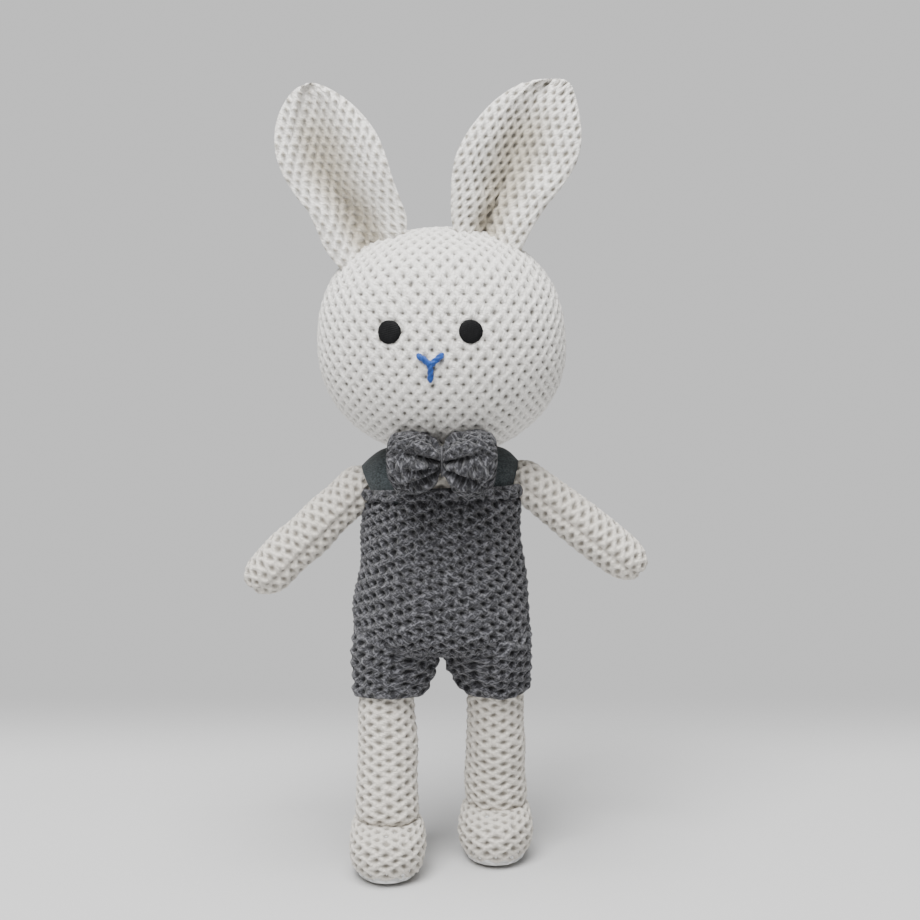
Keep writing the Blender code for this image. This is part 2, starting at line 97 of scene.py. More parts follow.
class RabbitSizes(bpy.types.PropertyGroup):
    """Sizes of the cloth and of the shapes it is sewn into."""

    cell: length("Mesh cell", 0.00075, "Size of one face of the knit's surface")
    head_pitch: pitch("Head knit", (0.0070, 0.0080), "Spacing of the holes on the head")
    limb_pitch: pitch("Limb knit", (0.0097, 0.0056), "Spacing of the holes on the arms, legs and booties")
    ear_pitch: pitch("Ear knit", (0.0046, 0.0084), "Spacing of the holes on the ears")
    overalls_pitch: pitch("Overalls knit", (0.0091, 0.0060), "Spacing of the holes on the overalls")
    bow_pitch: pitch("Bow knit", (0.0062, 0.0042), "Spacing of the holes on the bow tie")
    head_hole: hole("Head holes", (0.0007, 0.0005, 1.0))
    limb_hole: hole("Limb holes", (0.0014, 0.0008, 1.35))
    ear_hole: hole("Ear holes", (0.0008, 0.0006, 0.9))
    overalls_hole: hole("Overalls holes", (0.0012, 0.0005, 1.15))
    bow_hole: hole("Bow holes", (0.0005, 0.0006, 1.2))
    overalls_slant: FloatProperty(name="Overalls slant", default=0.22,
                                  description="How far the overalls' rows fall for each unit to the side")
    seam_width: length("Seam width", 0.0011, "Half width of the groove at a seam")
    seam_depth: length("Seam depth", 0.0011, "Depth of the groove at a seam")
    hem_radius: length("Hem radius", 0.0030, "Radius of the rolled hems of the overalls")
    strap_thickness: length("Strap thickness", 0.0014, "Thickness of the felt straps")
    thread_width: length("Nose thread", 0.0027, "Width of the thread sewn as nose and mouth")
    eye_radius: length("Eye radius", 0.0056, "Radius of the embroidered eyes")


class RabbitColours(bpy.types.PropertyGroup):
    """Colours of the yarns, the felt and the threads, with the painted shade of the grey knit's holes and the tint
    and painted shade of the ears' hollows.
    """

    white_yarn: colour("White yarn", (0.97, 0.948, 0.905), "Off-white yarn of the head and ears")
    limb_yarn: colour("Limb yarn", (0.80, 0.755, 0.68), "Creamier yarn of the arms, legs and booties")
    # Partly the yarn's own darker tint inside the ears' hollows, partly painted shade in them.
    ear_hollow_tint_and_shade: colour("Ear hollow", (0.56, 0.51, 0.41), "Yarn inside the ears' hollows")
    marl_dark: colour("Marl, dark ply", (0.026, 0.026, 0.030), "Dark ply of the grey marl yarn")
    marl_light: colour("Marl, light ply", (0.205, 0.205, 0.225), "Light ply of the grey marl yarn")
    marl_hole_shade: colour("Grey holes", (0.010, 0.010, 0.012), "Shade inside the holes of the overalls")
    felt: colour("Felt", (0.023, 0.029, 0.031), "Felt of the shoulder straps")
    eye_thread: colour("Eye thread", (0.0012, 0.0012, 0.0016), "Thread of the embroidered eyes")
    nose_thread: colour("Nose thread", (0.008, 0.045, 0.21), "Thread of the nose and mouth")
    sewing_thread: colour("Sewing thread", (0.62, 0.60, 0.55), "Thread that closes the neck and shoulders")
    backdrop: colour("Floor", (0.55, 0.55, 0.55), "Paper of the floor")


# Shader groups and materials

SHEEN_ROUGHNESS, DULL = 0.5, 0.2
SLUB_SCALE, SLUB_WIDTH = 330.0, 0.0022
FUZZ_SCALE, FUZZ_HEIGHT, PLY_HEIGHT = 760.0, 3.2, 0.28
FLECK_SCALE, FLECK_LENGTH, FLECK_LEANS = 1050.0, 2.6, (-38, 40)
SHADOWED_YARN = (0.48, 0.445, 0.40)
# Painted shade: the darker colours of the white knits' holes stand in for the shadow inside them.
PAINTED_HOLE_SHADE = {"head": (0.17, 0.16, 0.14), "limb": (0.32, 0.295, 0.255), "ear": (0.34, 0.315, 0.265)}
FILLING, GATHERING_THREAD = (0.72, 0.72, 0.70), (0.075, 0.075, 0.08)
BOW_SLANT = 0.12


class Graph:
    """Adds nodes to a tree and links them, so that a pattern reads as a formula."""

    def __init__(self, tree):
        self.tree = tree

    def feed(self, socket, value):
        """Link a socket, or set its value."""
        if isinstance(value, bpy.types.NodeSocket):
            self.tree.links.new(value, socket)
        elif value is not None:
            socket.default_value = value

    def node(self, kind, settings=(), **inputs):
        """A node with its settings and its inputs, named with underscores for spaces."""
        made = self.tree.nodes.new(kind)
        for key, value in dict(settings).items():
            setattr(made, key, value)
        for key, value in inputs.items():
            self.feed(made.inputs[key.replace("_", " ")], value)
        return made

    def math(self, operation, *values):
        """The result of one arithmetic step."""
        made = self.tree.nodes.new("ShaderNodeMath")
        made.operation = operation
        for socket, value in zip(made.inputs, values):
            self.feed(socket, value)
        return made.outputs[0]

    def ramp(self, value, low, high, bottom=0.0, top=1.0):
        """Value from low to high, eased and scaled to bottom to top."""
        made = self.node("ShaderNodeMapRange", {"interpolation_type": "SMOOTHSTEP"}, Value=value,
                         From_Min=low, From_Max=high, To_Min=bottom, To_Max=top)
        return made.outputs["Result"]

    def noise(self, place, scale, detail=2.0, roughness=0.5):
        """Cloudy noise, about 0.5 on average."""
        return self.node("ShaderNodeTexNoise", Vector=place, Scale=scale, Detail=detail,
                         Roughness=roughness).outputs[0]

    def mapped(self, place, rotation, scale, kind="POINT"):
        """Places turned and scaled."""
        made = self.node("ShaderNodeMapping", {"vector_type": kind}, Vector=place)
        made.inputs["Rotation"].default_value = rotation
        made.inputs["Scale"].default_value = scale
        return made.outputs[0]

    def mix(self, share, first, second):
        """A colour between two colours."""
        made = self.tree.nodes.new("ShaderNodeMix")
        made.data_type = "RGBA"
        for socket, value in ((made.inputs[0], share), (made.inputs[6], first), (made.inputs[7], second)):
            self.feed(socket, value)
        return made.outputs[2]


def new_group(name, inputs, outputs):
    """An empty shader group with named sockets: (name, kind, default) in, (name, kind) out."""
    tree = bpy.data.node_groups.new(name, "ShaderNodeTree")
    for label, kind, default in inputs:
        socket = tree.interface.new_socket(name=label, in_out="INPUT", socket_type="NodeSocket" + kind)
        if default is not None:
            socket.default_value = default
    for label, kind in outputs:
        tree.interface.new_socket(name=label, in_out="OUTPUT", socket_type="NodeSocket" + kind)
    graph = Graph(tree)
    return graph, tree.nodes.new("NodeGroupInput").outputs, tree.nodes.new("NodeGroupOutput").inputs


def knit_group():
    """Openwork knit: round a lattice of small holes the strands cross, with a twisted ply and fuzz."""
    graph, given, result = new_group(
        "openwork_knit",
        [("Vector", "Vector", None), ("Across", "Float", 0.007), ("Along", "Float", 0.008),
         ("Slant", "Float", 0.0), ("Radius", "Float", 0.0010), ("Edge", "Float", 0.0008),
         ("Squash", "Float", 1.0)],
        [("Hole", "Float"), ("Strand", "Float"), ("Height", "Float"), ("Fuzz", "Float")])
    parts = graph.node("ShaderNodeSeparateXYZ", Vector=given["Vector"]).outputs
    slanted = graph.math("MULTIPLY_ADD", parts["X"], given["Slant"], parts["Y"])
    u = graph.math("DIVIDE", parts["X"], given["Across"])
    v = graph.math("DIVIDE", slanted, given["Along"])
    tall = graph.math("MULTIPLY", given["Along"], given["Squash"])
    near_u, near_v = graph.math("PINGPONG", u, 0.5), graph.math("PINGPONG", v, 0.5)
    gaps = []
    far_u, far_v = graph.math("SUBTRACT", 0.5, near_u), graph.math("SUBTRACT", 0.5, near_v)
    for side, rise in ((near_u, near_v), (far_u, far_v)):
        side, rise = graph.math("MULTIPLY", side, given["Across"]), graph.math("MULTIPLY", rise, tall)
        squares = graph.math("MULTIPLY_ADD", side, side, graph.math("MULTIPLY", rise, rise))
        gaps.append(graph.math("SQRT", squares))
    uneven = graph.noise(given["Vector"], SLUB_SCALE, 4.0, 0.7)
    gap = graph.math("MULTIPLY_ADD", graph.math("SUBTRACT", uneven, 0.5), SLUB_WIDTH, graph.math("MINIMUM", *gaps))
    inner = graph.math("SUBTRACT", given["Radius"], given["Edge"])
    outer = graph.math("ADD", given["Radius"], given["Edge"])
    hole = graph.math("SUBTRACT", 1.0, graph.ramp(gap, inner, outer))
    rising = graph.math("ADD", u, v)
    falling = graph.math("SUBTRACT", u, v)
    strands = [graph.math("ABSOLUTE", graph.math("SINE", graph.math("MULTIPLY", value, math.pi)))
               for value in (rising, falling)]
    strand = graph.math("POWER", graph.math("MAXIMUM", *strands), 4.0)
    over = graph.math("GREATER_THAN", *strands)
    twist_a = graph.math("MULTIPLY_ADD", rising, 1.5, graph.math("MULTIPLY", falling, 3.5))
    twist_b = graph.math("MULTIPLY_ADD", falling, 1.5, graph.math("MULTIPLY", rising, -3.5))
    twist = graph.node("ShaderNodeMix", Factor=over, A=twist_b, B=twist_a).outputs[0]
    ply = graph.math("SINE", graph.math("MULTIPLY", twist, TURN))
    fuzz = graph.noise(given["Vector"], FUZZ_SCALE, 4.0, 0.75)
    fuzzy = graph.math("MULTIPLY_ADD", fuzz, FUZZ_HEIGHT, strand)
    height = graph.math("MULTIPLY_ADD", ply, PLY_HEIGHT, fuzzy)
    height = graph.math("MULTIPLY_ADD", hole, -1.0, height)
    for label, value in (("Hole", hole), ("Strand", strand), ("Height", height), ("Fuzz", fuzz)):
        graph.feed(result[label], value)
    return graph.tree


def marl_group():
    """Marl yarn: dark and light plies that show in short flecks along the yarn."""
    graph, given, result = new_group(
        "marl_yarn", [("Vector", "Vector", None), ("Dark", "Color", None), ("Light", "Color", None),
                      ("Light share", "Float", 0.5)],
        [("Color", "Color"), ("Fleck", "Float")])
    plies = []
    for angle in FLECK_LEANS:
        turned = graph.mapped(given["Vector"], (0, 0, math.radians(angle)), (FLECK_LENGTH, 1.0, 1.0), "TEXTURE")
        plies.append(graph.noise(turned, FLECK_SCALE, 3.0, 0.6))
    fine = graph.math("MAXIMUM", *plies)
    broad = graph.noise(given["Vector"], 260.0)
    both = graph.math("MULTIPLY_ADD", fine, 0.85, graph.math("MULTIPLY", broad, 0.15))
    edge = graph.math("SUBTRACT", 0.66, graph.math("MULTIPLY", given["Light share"], 0.20))
    fleck = graph.ramp(both, graph.math("SUBTRACT", edge, 0.08), graph.math("ADD", edge, 0.10))
    graph.feed(result["Color"], graph.mix(fleck, given["Dark"], given["Light"]))
    graph.feed(result["Fleck"], fleck)
    return graph.tree


def fibre_group():
    """Felt and loose filling: short crossing fibres with slow patches."""
    graph, given, result = new_group(
        "short_fibres", [("Vector", "Vector", None), ("Scale", "Float", 1500.0)],
        [("Fibre", "Float"), ("Patch", "Float")])
    lines = [graph.noise(graph.mapped(given["Vector"], (0.3, angle, angle), (0.16, 1.0, 1.0)), given["Scale"])
             for angle in (0.5, 2.1)]
    graph.feed(result["Fibre"], graph.math("MAXIMUM", *lines))
    graph.feed(result["Patch"], graph.noise(given["Vector"], 90.0, 3.0))
    return graph.tree


def new_material(name, roughness, sheen):
    """A material with its shader's constant values; returns it, its graph and its shader."""
    made = bpy.data.materials.new(name)
    made.use_nodes = True
    shader = made.node_tree.nodes["Principled BSDF"]
    shader.inputs["Roughness"].default_value = roughness
    shader.inputs["Sheen Weight"].default_value = sheen
    shader.inputs["Sheen Roughness"].default_value = SHEEN_ROUGHNESS
    shader.inputs["Specular IOR Level"].default_value = DULL
    return made, Graph(made.node_tree), shader


def rgba(value):
    """A colour with full alpha."""
    return (*value, 1.0)


def group_node(graph, tree, **inputs):
    """Place a shader group with its own values."""
    return graph.node("ShaderNodeGroup", {"node_tree": tree}, **inputs)


def bump(graph, shader, height, distance, strength=1.0):
    """Feed a height to the shader's normal."""
    made = graph.node("ShaderNodeBump", Height=height, Distance=distance, Strength=strength)
    graph.feed(shader.inputs["Normal"], made.outputs[0])


def knit_material(kind, roughness, sheen, slant=0.0):
    """A knit's material; returns it, its graph and shader, the places on the flat cloth and the pattern."""
    sizes = bpy.context.scene.rabbit_sizes
    made, graph, shader = new_material(kind + "_knit", roughness, sheen)
    place = graph.node("ShaderNodeUVMap", {"uv_map": "knit"}).outputs[0]
    (across, along), (radius, edge, squash) = getattr(sizes, kind + "_pitch"), getattr(sizes, kind + "_hole")
    knit = group_node(graph, GROUPS["knit"], Vector=place, Across=across, Along=along, Slant=slant,
                      Radius=radius, Edge=edge, Squash=squash).outputs
    return made, graph, shader, place, knit


def white_knit(kind, yarn_colour):
    """Off-white openwork knit, with painted shade in its holes, between its strands and where its fuzz is low, and
    on the ears a hollow painted darker, partly the yarn's own tint and partly painted shade.
    """
    tones = bpy.context.scene.rabbit_colours
    made, graph, shader, _, knit = knit_material(kind, 0.92, 0.30)
    # The hole colour is painted shade, the shadow seen inside the openwork's holes.
    yarn, gap = rgba(yarn_colour), rgba(PAINTED_HOLE_SHADE[kind])
    # In the ears' hollows the yarn takes a darker colour that is partly its own tint and partly painted shade, and
    # the holes there get a deeper painted shade.
    if kind == "ear":
        hollow = graph.node("ShaderNodeAttribute", {"attribute_name": "hollow"}).outputs["Fac"]
        yarn = graph.mix(hollow, yarn, rgba(tones.ear_hollow_tint_and_shade))
        gap = graph.mix(hollow, gap, rgba(tuple(0.72 * part for part in PAINTED_HOLE_SHADE[kind])))
    yarn = graph.mix(graph.ramp(knit["Fuzz"], 0.38, 0.58, 0.50, 0.0), yarn, rgba(SHADOWED_YARN))
    # Painted shade: away from the strands' crests the yarn darkens towards the holes' painted shade, and the holes
    # take that shade.
    yarn = graph.mix(graph.ramp(knit["Strand"], 0.05, 0.75, 0.30, 0.0), yarn, gap)
    graph.feed(shader.inputs["Base Color"], graph.mix(knit["Hole"], yarn, gap))
    bump(graph, shader, knit["Height"], 0.0004, 0.85)
    return made


def grey_knit(kind, slant, hole_share=1.0, light_share=0.5):
    """Grey marl openwork knit, with painted shade in its holes and between its strands."""
    tones = bpy.context.scene.rabbit_colours
    made, graph, shader, place, knit = knit_material(kind, 0.95, 0.22, slant)
    marl = group_node(graph, GROUPS["marl"], Vector=place, Dark=rgba(tones.marl_dark),
                      Light=rgba(tones.marl_light), Light_share=light_share).outputs
    # Painted shade: between the strands and in the holes the marl darkens to the holes' painted shade.
    between = graph.ramp(knit["Strand"], 0.05, 0.75, 0.52, 0.0)
    yarn = graph.mix(between, marl["Color"], rgba(tones.marl_hole_shade))
    hole = graph.math("MULTIPLY", knit["Hole"], hole_share)
    graph.feed(shader.inputs["Base Color"], graph.mix(hole, yarn, rgba(tones.marl_hole_shade)))
    height = graph.math("MULTIPLY_ADD", marl["Fleck"], 0.5, knit["Height"])
    bump(graph, shader, height, 0.0005, 0.9)
    return made


def felt_material(name, tone, scale, distance):
    """Pressed or loose fibres in one tone."""
    made, graph, shader = new_material(name, 0.95, 0.2)
    place = graph.node("ShaderNodeTexCoord").outputs["Object"]
    fibres = group_node(graph, GROUPS["fibre"], Vector=place, Scale=scale).outputs
    light = tuple(min(1.0, 1.7 * part + 0.01) for part in tone)
    dark = tuple(0.62 * part for part in tone)
    base = graph.mix(graph.ramp(fibres["Fibre"], 0.42, 0.72), rgba(dark), rgba(light))
    base = graph.mix(graph.ramp(fibres["Patch"], 0.35, 0.75, 0.0, 0.35), base, rgba(light))
    graph.feed(shader.inputs["Base Color"], base)
    bump(graph, shader, fibres["Fibre"], distance)
    return made


def thread_material(name, tone, sheen, roughness):
    """Smooth embroidery or sewing thread: fine parallel filaments."""
    made, graph, shader = new_material(name, roughness, sheen)
    place = graph.node("ShaderNodeTexCoord").outputs["Object"]
    filaments = graph.noise(graph.mapped(place, (0, 0, 0), (1.0, 1.0, 0.18)), 1400.0)
    slow = graph.noise(place, 200.0)
    light = tuple(min(1.0, 1.6 * part + 0.002) for part in tone)
    share = graph.math("MULTIPLY", graph.ramp(filaments, 0.4, 0.7), graph.ramp(slow, 0.3, 0.7, 0.5, 1.0))
    graph.feed(shader.inputs["Base Color"], graph.mix(share, rgba(tone), rgba(light)))
    bump(graph, shader, filaments, 0.0002)
    return made


# Mesh work

KNIT_DEPTH = {"head": 0.0010, "torso": 0.0010, "ear": 0.0011, "limb": 0.0012, "overalls": 0.0015, "bow": 0.0008}
WAVES = {"head": (0.0006, 0.045), "ear": (0.0006, 0.020), "overalls": (0.0007, 0.030), "bib": (0.0011, 0.014),
         "shorts": (0.0006, 0.018), "hem": (0.0004, 0.011), "strap": (0.0003, 0.015), "arm": (0.0005, 0.026),
         "leg": (0.0005, 0.030), "bootie": (0.0004, 0.020), "bow": (0.0005, 0.011)}
SEAM_DEPTH = {"head": 0.0008, "arm": 0.0010, "leg": 0.0009}
CELLS = {"torso": (250, 120), "overalls": (290, 260), "shorts": (140, 110), "strap": (24, 110), "bow": (190, 190)}
WELD = 0.000002


def smooth(low, high, value):
    """Eased step from 0 below low to 1 above high."""
    share = np.clip((np.asarray(value) - low) / (high - low), 0, 1)
    return share * share * (3 - 2 * share)


def ripple(points, size, seed):
    """Slow irregular waves, about -1 to 1, with the given wavelength."""
    spread = np.random.default_rng(seed)
    total = np.zeros(len(points))
    for _ in range(6):
        way = spread.normal(size=3)
        way *= TURN / size / np.linalg.norm(way) * spread.uniform(0.7, 1.4)
        total += np.sin(points @ way + spread.uniform(0, TURN))
    return total / 3


def waves(kind, points, seed):
    """Slow unevenness of a stuffed or hanging piece, as a height."""
    height, size = WAVES[kind]
    return height * ripple(points, size, seed)


def loosened(cloth, points, seed, amount=0.00034):
    """Places on the cloth shifted a little, as hand-made stitches are uneven."""
    shift = [ripple(points, 0.0060, seed + k) + 0.8 * ripple(points, 0.017, seed + 5 + k) for k in (0, 1)]
    return cloth + amount * np.stack(shift, axis=1)


def knit_relief(kind, cloth, depth, slant=0.0):
    """Height of a kind of knit over its flat cloth: crossing strands round a lattice of holes."""
    sizes = bpy.context.scene.rabbit_sizes
    pitch_size = getattr(sizes, kind + "_pitch")
    radius, edge, squash = getattr(sizes, kind + "_hole")
    u = cloth[:, 0] / pitch_size[0]
    v = (cloth[:, 1] + slant * cloth[:, 0]) / pitch_size[1]
    near_u, near_v = np.abs(u - np.rint(u)), np.abs(v - np.rint(v))
    tall = pitch_size[1] * squash
    gap = np.minimum(np.hypot(near_u * pitch_size[0], near_v * tall),
                     np.hypot((0.5 - near_u) * pitch_size[0], (0.5 - near_v) * tall))
    over = (np.cos(TURN * u) - np.cos(TURN * v)) * 0.12
    rising = np.abs(np.sin(math.pi * (u + v))) ** 2.5 * (1 + over)
    falling = np.abs(np.sin(math.pi * (u - v))) ** 2.5 * (1 - over)
    return depth * (0.75 * np.maximum(rising, falling) - 0.85 * (1 - smooth(0, radius + 1.5 * edge, gap)))


def line_curve(points, count):
    """Evenly spaced points on a smooth curve through the given points."""
    knots = np.array([points[0], *points, points[-1]], float)
    steps = np.linspace(0, 1, 24, endpoint=False)[:, None]
    dense = []
    for a, b, c, d in zip(knots, knots[1:], knots[2:], knots[3:]):
        dense.append(0.5 * (2 * b + (c - a) * steps + (2 * a - 5 * b + 4 * c - d) * steps ** 2
                            + (3 * b - a - 3 * c + d) * steps ** 3))
    dense = np.vstack([*dense, knots[-1:]])
    run = np.concatenate([[0], np.cumsum(np.linalg.norm(np.diff(dense, axis=0), axis=1))])
    even = np.linspace(0, run[-1], count)
    return np.stack([np.interp(even, run, dense[:, k]) for k in range(dense.shape[1])], axis=1), even


def new_grid(name, columns, rows):
    """A flat grid from -1 to 1 both ways; returns it with each vertex's two values."""
    bpy.ops.object.select_all(action="DESELECT")
    bpy.ops.mesh.primitive_grid_add(x_subdivisions=columns, y_subdivisions=rows, size=2, calc_uvs=True)
    piece = bpy.context.object
    piece.name = piece.data.name = name
    flat = vertex_points(piece)
    return piece, flat[:, 0], flat[:, 1]


def vertex_points(piece):
    """The piece's vertices as an array."""
    points = np.empty(len(piece.data.vertices) * 3)
    piece.data.vertices.foreach_get("co", points)
    return points.reshape(-1, 3)


def set_points(piece, points):
    """Move the piece's vertices."""
    piece.data.vertices.foreach_set("co", np.ascontiguousarray(points, dtype=np.float32).ravel())
    piece.data.update()


def store(piece, name, values):
    """Keep one value for each vertex on the mesh."""
    kept = piece.data.attributes.get(name) or piece.data.attributes.new(name, "FLOAT", "POINT")
    kept.data.foreach_set("value", values.astype(np.float32))


def recall(piece, name):
    """Read the values kept by store."""
    values = np.empty(len(piece.data.vertices), np.float32)
    piece.data.attributes[name].data.foreach_get("value", values)
    return values


def lay_cloth(piece, points, cloth, relief, **extra):
    """Give a grid its base shape, its place on the flat cloth and the relief still to be raised."""
    set_points(piece, points)
    layer = piece.data.uv_layers.active or piece.data.uv_layers.new()
    layer.name = "knit"
    corners = np.empty(len(piece.data.loops), np.int32)
    piece.data.loops.foreach_get("vertex_index", corners)
    layer.data.foreach_set("uv", cloth[corners].astype(np.float32).ravel())
    store(piece, "relief", relief)
    for name, values in extra.items():
        store(piece, name, values)


def sew(pieces, material):
    """Join grids into one closed piece, merge their edges, raise the relief and smooth it."""
    bpy.ops.object.select_all(action="DESELECT")
    for piece in pieces:
        piece.select_set(True)
    bpy.context.view_layer.objects.active = pieces[0]
    if len(pieces) > 1:
        bpy.ops.object.join()
    whole = bpy.context.object
    bpy.ops.object.mode_set(mode="EDIT")
    bpy.ops.mesh.select_all(action="SELECT")
    bpy.ops.mesh.remove_doubles(threshold=WELD)
    bpy.ops.mesh.normals_make_consistent(inside=False)
    bpy.ops.object.mode_set(mode="OBJECT")
    normals = np.empty(len(whole.data.vertices) * 3)
    whole.data.vertices.foreach_get("normal", normals)
    relief = recall(whole, "relief").astype(float)
    set_points(whole, vertex_points(whole) + normals.reshape(-1, 3) * relief[:, None])
    whole.data.attributes.remove(whole.data.attributes["relief"])
    bpy.ops.object.shade_smooth()
    whole.data.materials.clear()
    whole.data.materials.append(material)
    return whole


def finish_piece(piece, body, nodes):
    """Tie a piece to its body, if it rides on one and the solids it stands for."""
    if body:
        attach(piece, body)
    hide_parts(*nodes)


def grid_index(value, count):
    """The row or column, from 0 to count, of each value from -1 to 1."""
    return np.rint((value + 1) / 2 * count).astype(int)


def round_arc(stretch, count):
    """Angles, from -pi to pi, that are evenly spaced along an ellipse, and its length in radii."""
    angles = np.linspace(-math.pi, math.pi, 721)
    speed = np.hypot(np.cos(angles), stretch * np.sin(angles))
    run = np.concatenate([[0], np.cumsum((speed[1:] + speed[:-1]) / 2 * np.diff(angles))])
    return np.interp(np.linspace(0, run[-1], count), run, angles), run[-1]


def turned_cloth(name, profile, columns, rows, stretch, cloth_radius, seam=0.5):
    """A closed form turned about Z from (radius, height) points, laid out as cloth.

    The angle is 0 towards -Y. The seam is at a share of a half turn to each side. The cloth's u is
    measured round the form from the front, on a fixed radius.
    """
    piece, s, t = new_grid(name, columns, rows)
    row, column = grid_index(-t, rows), grid_index(s, columns)
    line, run = line_curve(profile, rows + 1)
    angles, around = round_arc(stretch, columns + 1)
    radius, height, angle = line[row, 0], line[row, 1], angles[column]
    points = np.stack([radius * np.sin(angle), -stretch * radius * np.cos(angle), height], axis=1)
    share = s * around / 2
    quarter = around / 4
    behind = np.abs(share) > quarter
    from_middle = np.where(behind, np.sign(share) * (np.abs(share) - 2 * quarter), share)
    cloth = np.stack([from_middle * cloth_radius, -run[row]], axis=1)
    to_seam = np.abs(np.abs(share) - quarter * 2 * seam) * radius
    return piece, points, cloth, to_seam, run[row]


def limb_frame(node, joint):
    """Where a limb's joint is, the matrix that turns -Z along the limb, and how far the limb reaches."""
    start = Vector(JOINTS[joint]["pos_m"])
    points = np.array([tuple(vertex.co) for vertex in frame["nodes"][node].data.vertices]) - np.array(start)
    along = Vector(points.mean(axis=0))
    along.x, along.y = (along.x, 0.0) if abs(along.x) > abs(along.y) else (0.0, along.y)
    along.normalize()
    turn = Vector((0, 0, -1)).rotation_difference(along).to_matrix().to_4x4()
    reach = float((points @ np.array(along)).max())
    return Matrix.Translation(start) @ turn, reach


def placed(points, matrix):
    """Points moved by a matrix."""
    turn = np.array(matrix.to_3x3())
    return points @ turn.T + np.array(matrix.translation)


def seam_groove(to_seam, width, depth):
    """How far cloth is pulled in beside a seam, and how much of the knit's relief is left there."""
    return -depth * np.exp(-(to_seam / width) ** 2), smooth(0.6 * width, 2.2 * width, to_seam)


# Head

HEAD_LOW, HEAD_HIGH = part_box("head_front_panel")
HEAD_HALF_WIDTH = HEAD_HIGH.x
HEAD_HALF_DEPTH = -HEAD_LOW.y
HEAD_TOP = HEAD_HIGH.z
HEAD_BASE = HEAD_LOW.z - 0.0010
HEAD_MIDDLE = HEAD_TOP - 0.055
HEAD_CHIN = 0.052
CROWN_FULLNESS = 2.3


def head_point(p, q, side):
    """A point of the head from a square that covers its front (side -1) or back (side 1)."""
    a = p * np.sqrt(1 - q * q / 2)
    b = q * np.sqrt(1 - p * p / 2)
    rim = np.minimum(np.hypot(a, b), 1)
    out = np.sqrt(2 - rim ** 2)
    way = np.stack([a * out, side * (1 - rim ** 2), b * out], axis=1)
    level = np.hypot(way[:, 0], way[:, 1])
    full = np.where(way[:, 2] > 0, CROWN_FULLNESS, 2.0)
    size = (level ** full + np.abs(way[:, 2]) ** full) ** (-1 / full)
    tall = np.where(way[:, 2] > 0, HEAD_TOP - HEAD_MIDDLE, HEAD_CHIN)
    points = way * size[:, None] * np.stack([np.full_like(tall, HEAD_HALF_WIDTH),
                                             np.full_like(tall, HEAD_HALF_DEPTH), tall], axis=1)
    points[:, 2] = np.maximum(points[:, 2] + HEAD_MIDDLE, HEAD_BASE)
    return points, a, b, rim


def face_spot(x, height):
    """The point and outward way on the head's front at x and height."""
    rise = height - HEAD_MIDDLE
    full, tall = (CROWN_FULLNESS, HEAD_TOP - HEAD_MIDDLE) if rise > 0 else (2.0, HEAD_CHIN)
    level = (1 - abs(rise / tall) ** full) ** (1 / full)
    y = -HEAD_HALF_DEPTH * math.sqrt(max(level ** 2 - (x / HEAD_HALF_WIDTH) ** 2, 0))
    out = Vector((x / HEAD_HALF_WIDTH ** 2, y / HEAD_HALF_DEPTH ** 2, rise / tall ** 2)).normalized()
    return Vector((x, y, height)), out


def distance_to_line(points, start, end):
    """Distance from points to a line between two ends, all in (x, z)."""
    start, end = np.array(start), np.array(end)
    way = end - start
    share = np.clip((points - start) @ way / (way @ way), 0, 1)
    return np.linalg.norm(points - start - share[:, None] * way, axis=1)


DART = ((-0.0035, 0.2275), (0.0, 0.2120))
DART_WIDTH = 0.0009
EYES = (("left_eye", -0.0232, 0.2690), ("right_eye", 0.0138, 0.2695))


class RABBIT_OT_head(bpy.types.Operator):
    """Sew the head's front and back panels into one stuffed ball"""

    bl_idname = "rabbit.head"
    bl_label = "Head"

    def execute(self, context):
        sizes = context.scene.rabbit_sizes
        count = int(2 * math.sqrt(2) * HEAD_HALF_WIDTH / sizes.cell)
        panels = []
        for side in (-1, 1):
            panel, p, q = new_grid("head_cover", count, count)
            points, a, b, rim = head_point(p, q, side)
            cloth = np.stack([a * HEAD_HALF_WIDTH, b * (HEAD_TOP - HEAD_BASE) / 2], axis=1) * math.sqrt(2)
            cloth = loosened(cloth, points, 11)
            groove, left = seam_groove(2 * HEAD_HALF_WIDTH * (1 - rim), sizes.seam_width, SEAM_DEPTH["head"])
            relief = knit_relief("head", cloth, KNIT_DEPTH["head"]) * left + groove
            if side < 0:
                dart, kept = seam_groove(distance_to_line(points[:, [0, 2]], *DART), DART_WIDTH, DART_WIDTH)
                relief = relief * kept + dart
                for _, x, height in EYES:
                    away = np.hypot(points[:, 0] - x, points[:, 2] - height)
                    beside = smooth(0.85 * sizes.eye_radius, 1.3 * sizes.eye_radius, away)
                    relief = relief * beside - 0.0003 * (1 - beside)
            relief += waves("head", points, 3)
            lay_cloth(panel, points, cloth, relief)
            panels.append(panel)
        head = sew(panels, MATERIALS["head"])
        finish_piece(head, "head", ("head_front_panel", "head_back_panel"))
        return {"FINISHED"}


# Eyes, nose and mouth

STITCH = 0.00042
EYE_DOME, EYE_BACK, EYE_CELLS = 0.0012, 0.0012, 56


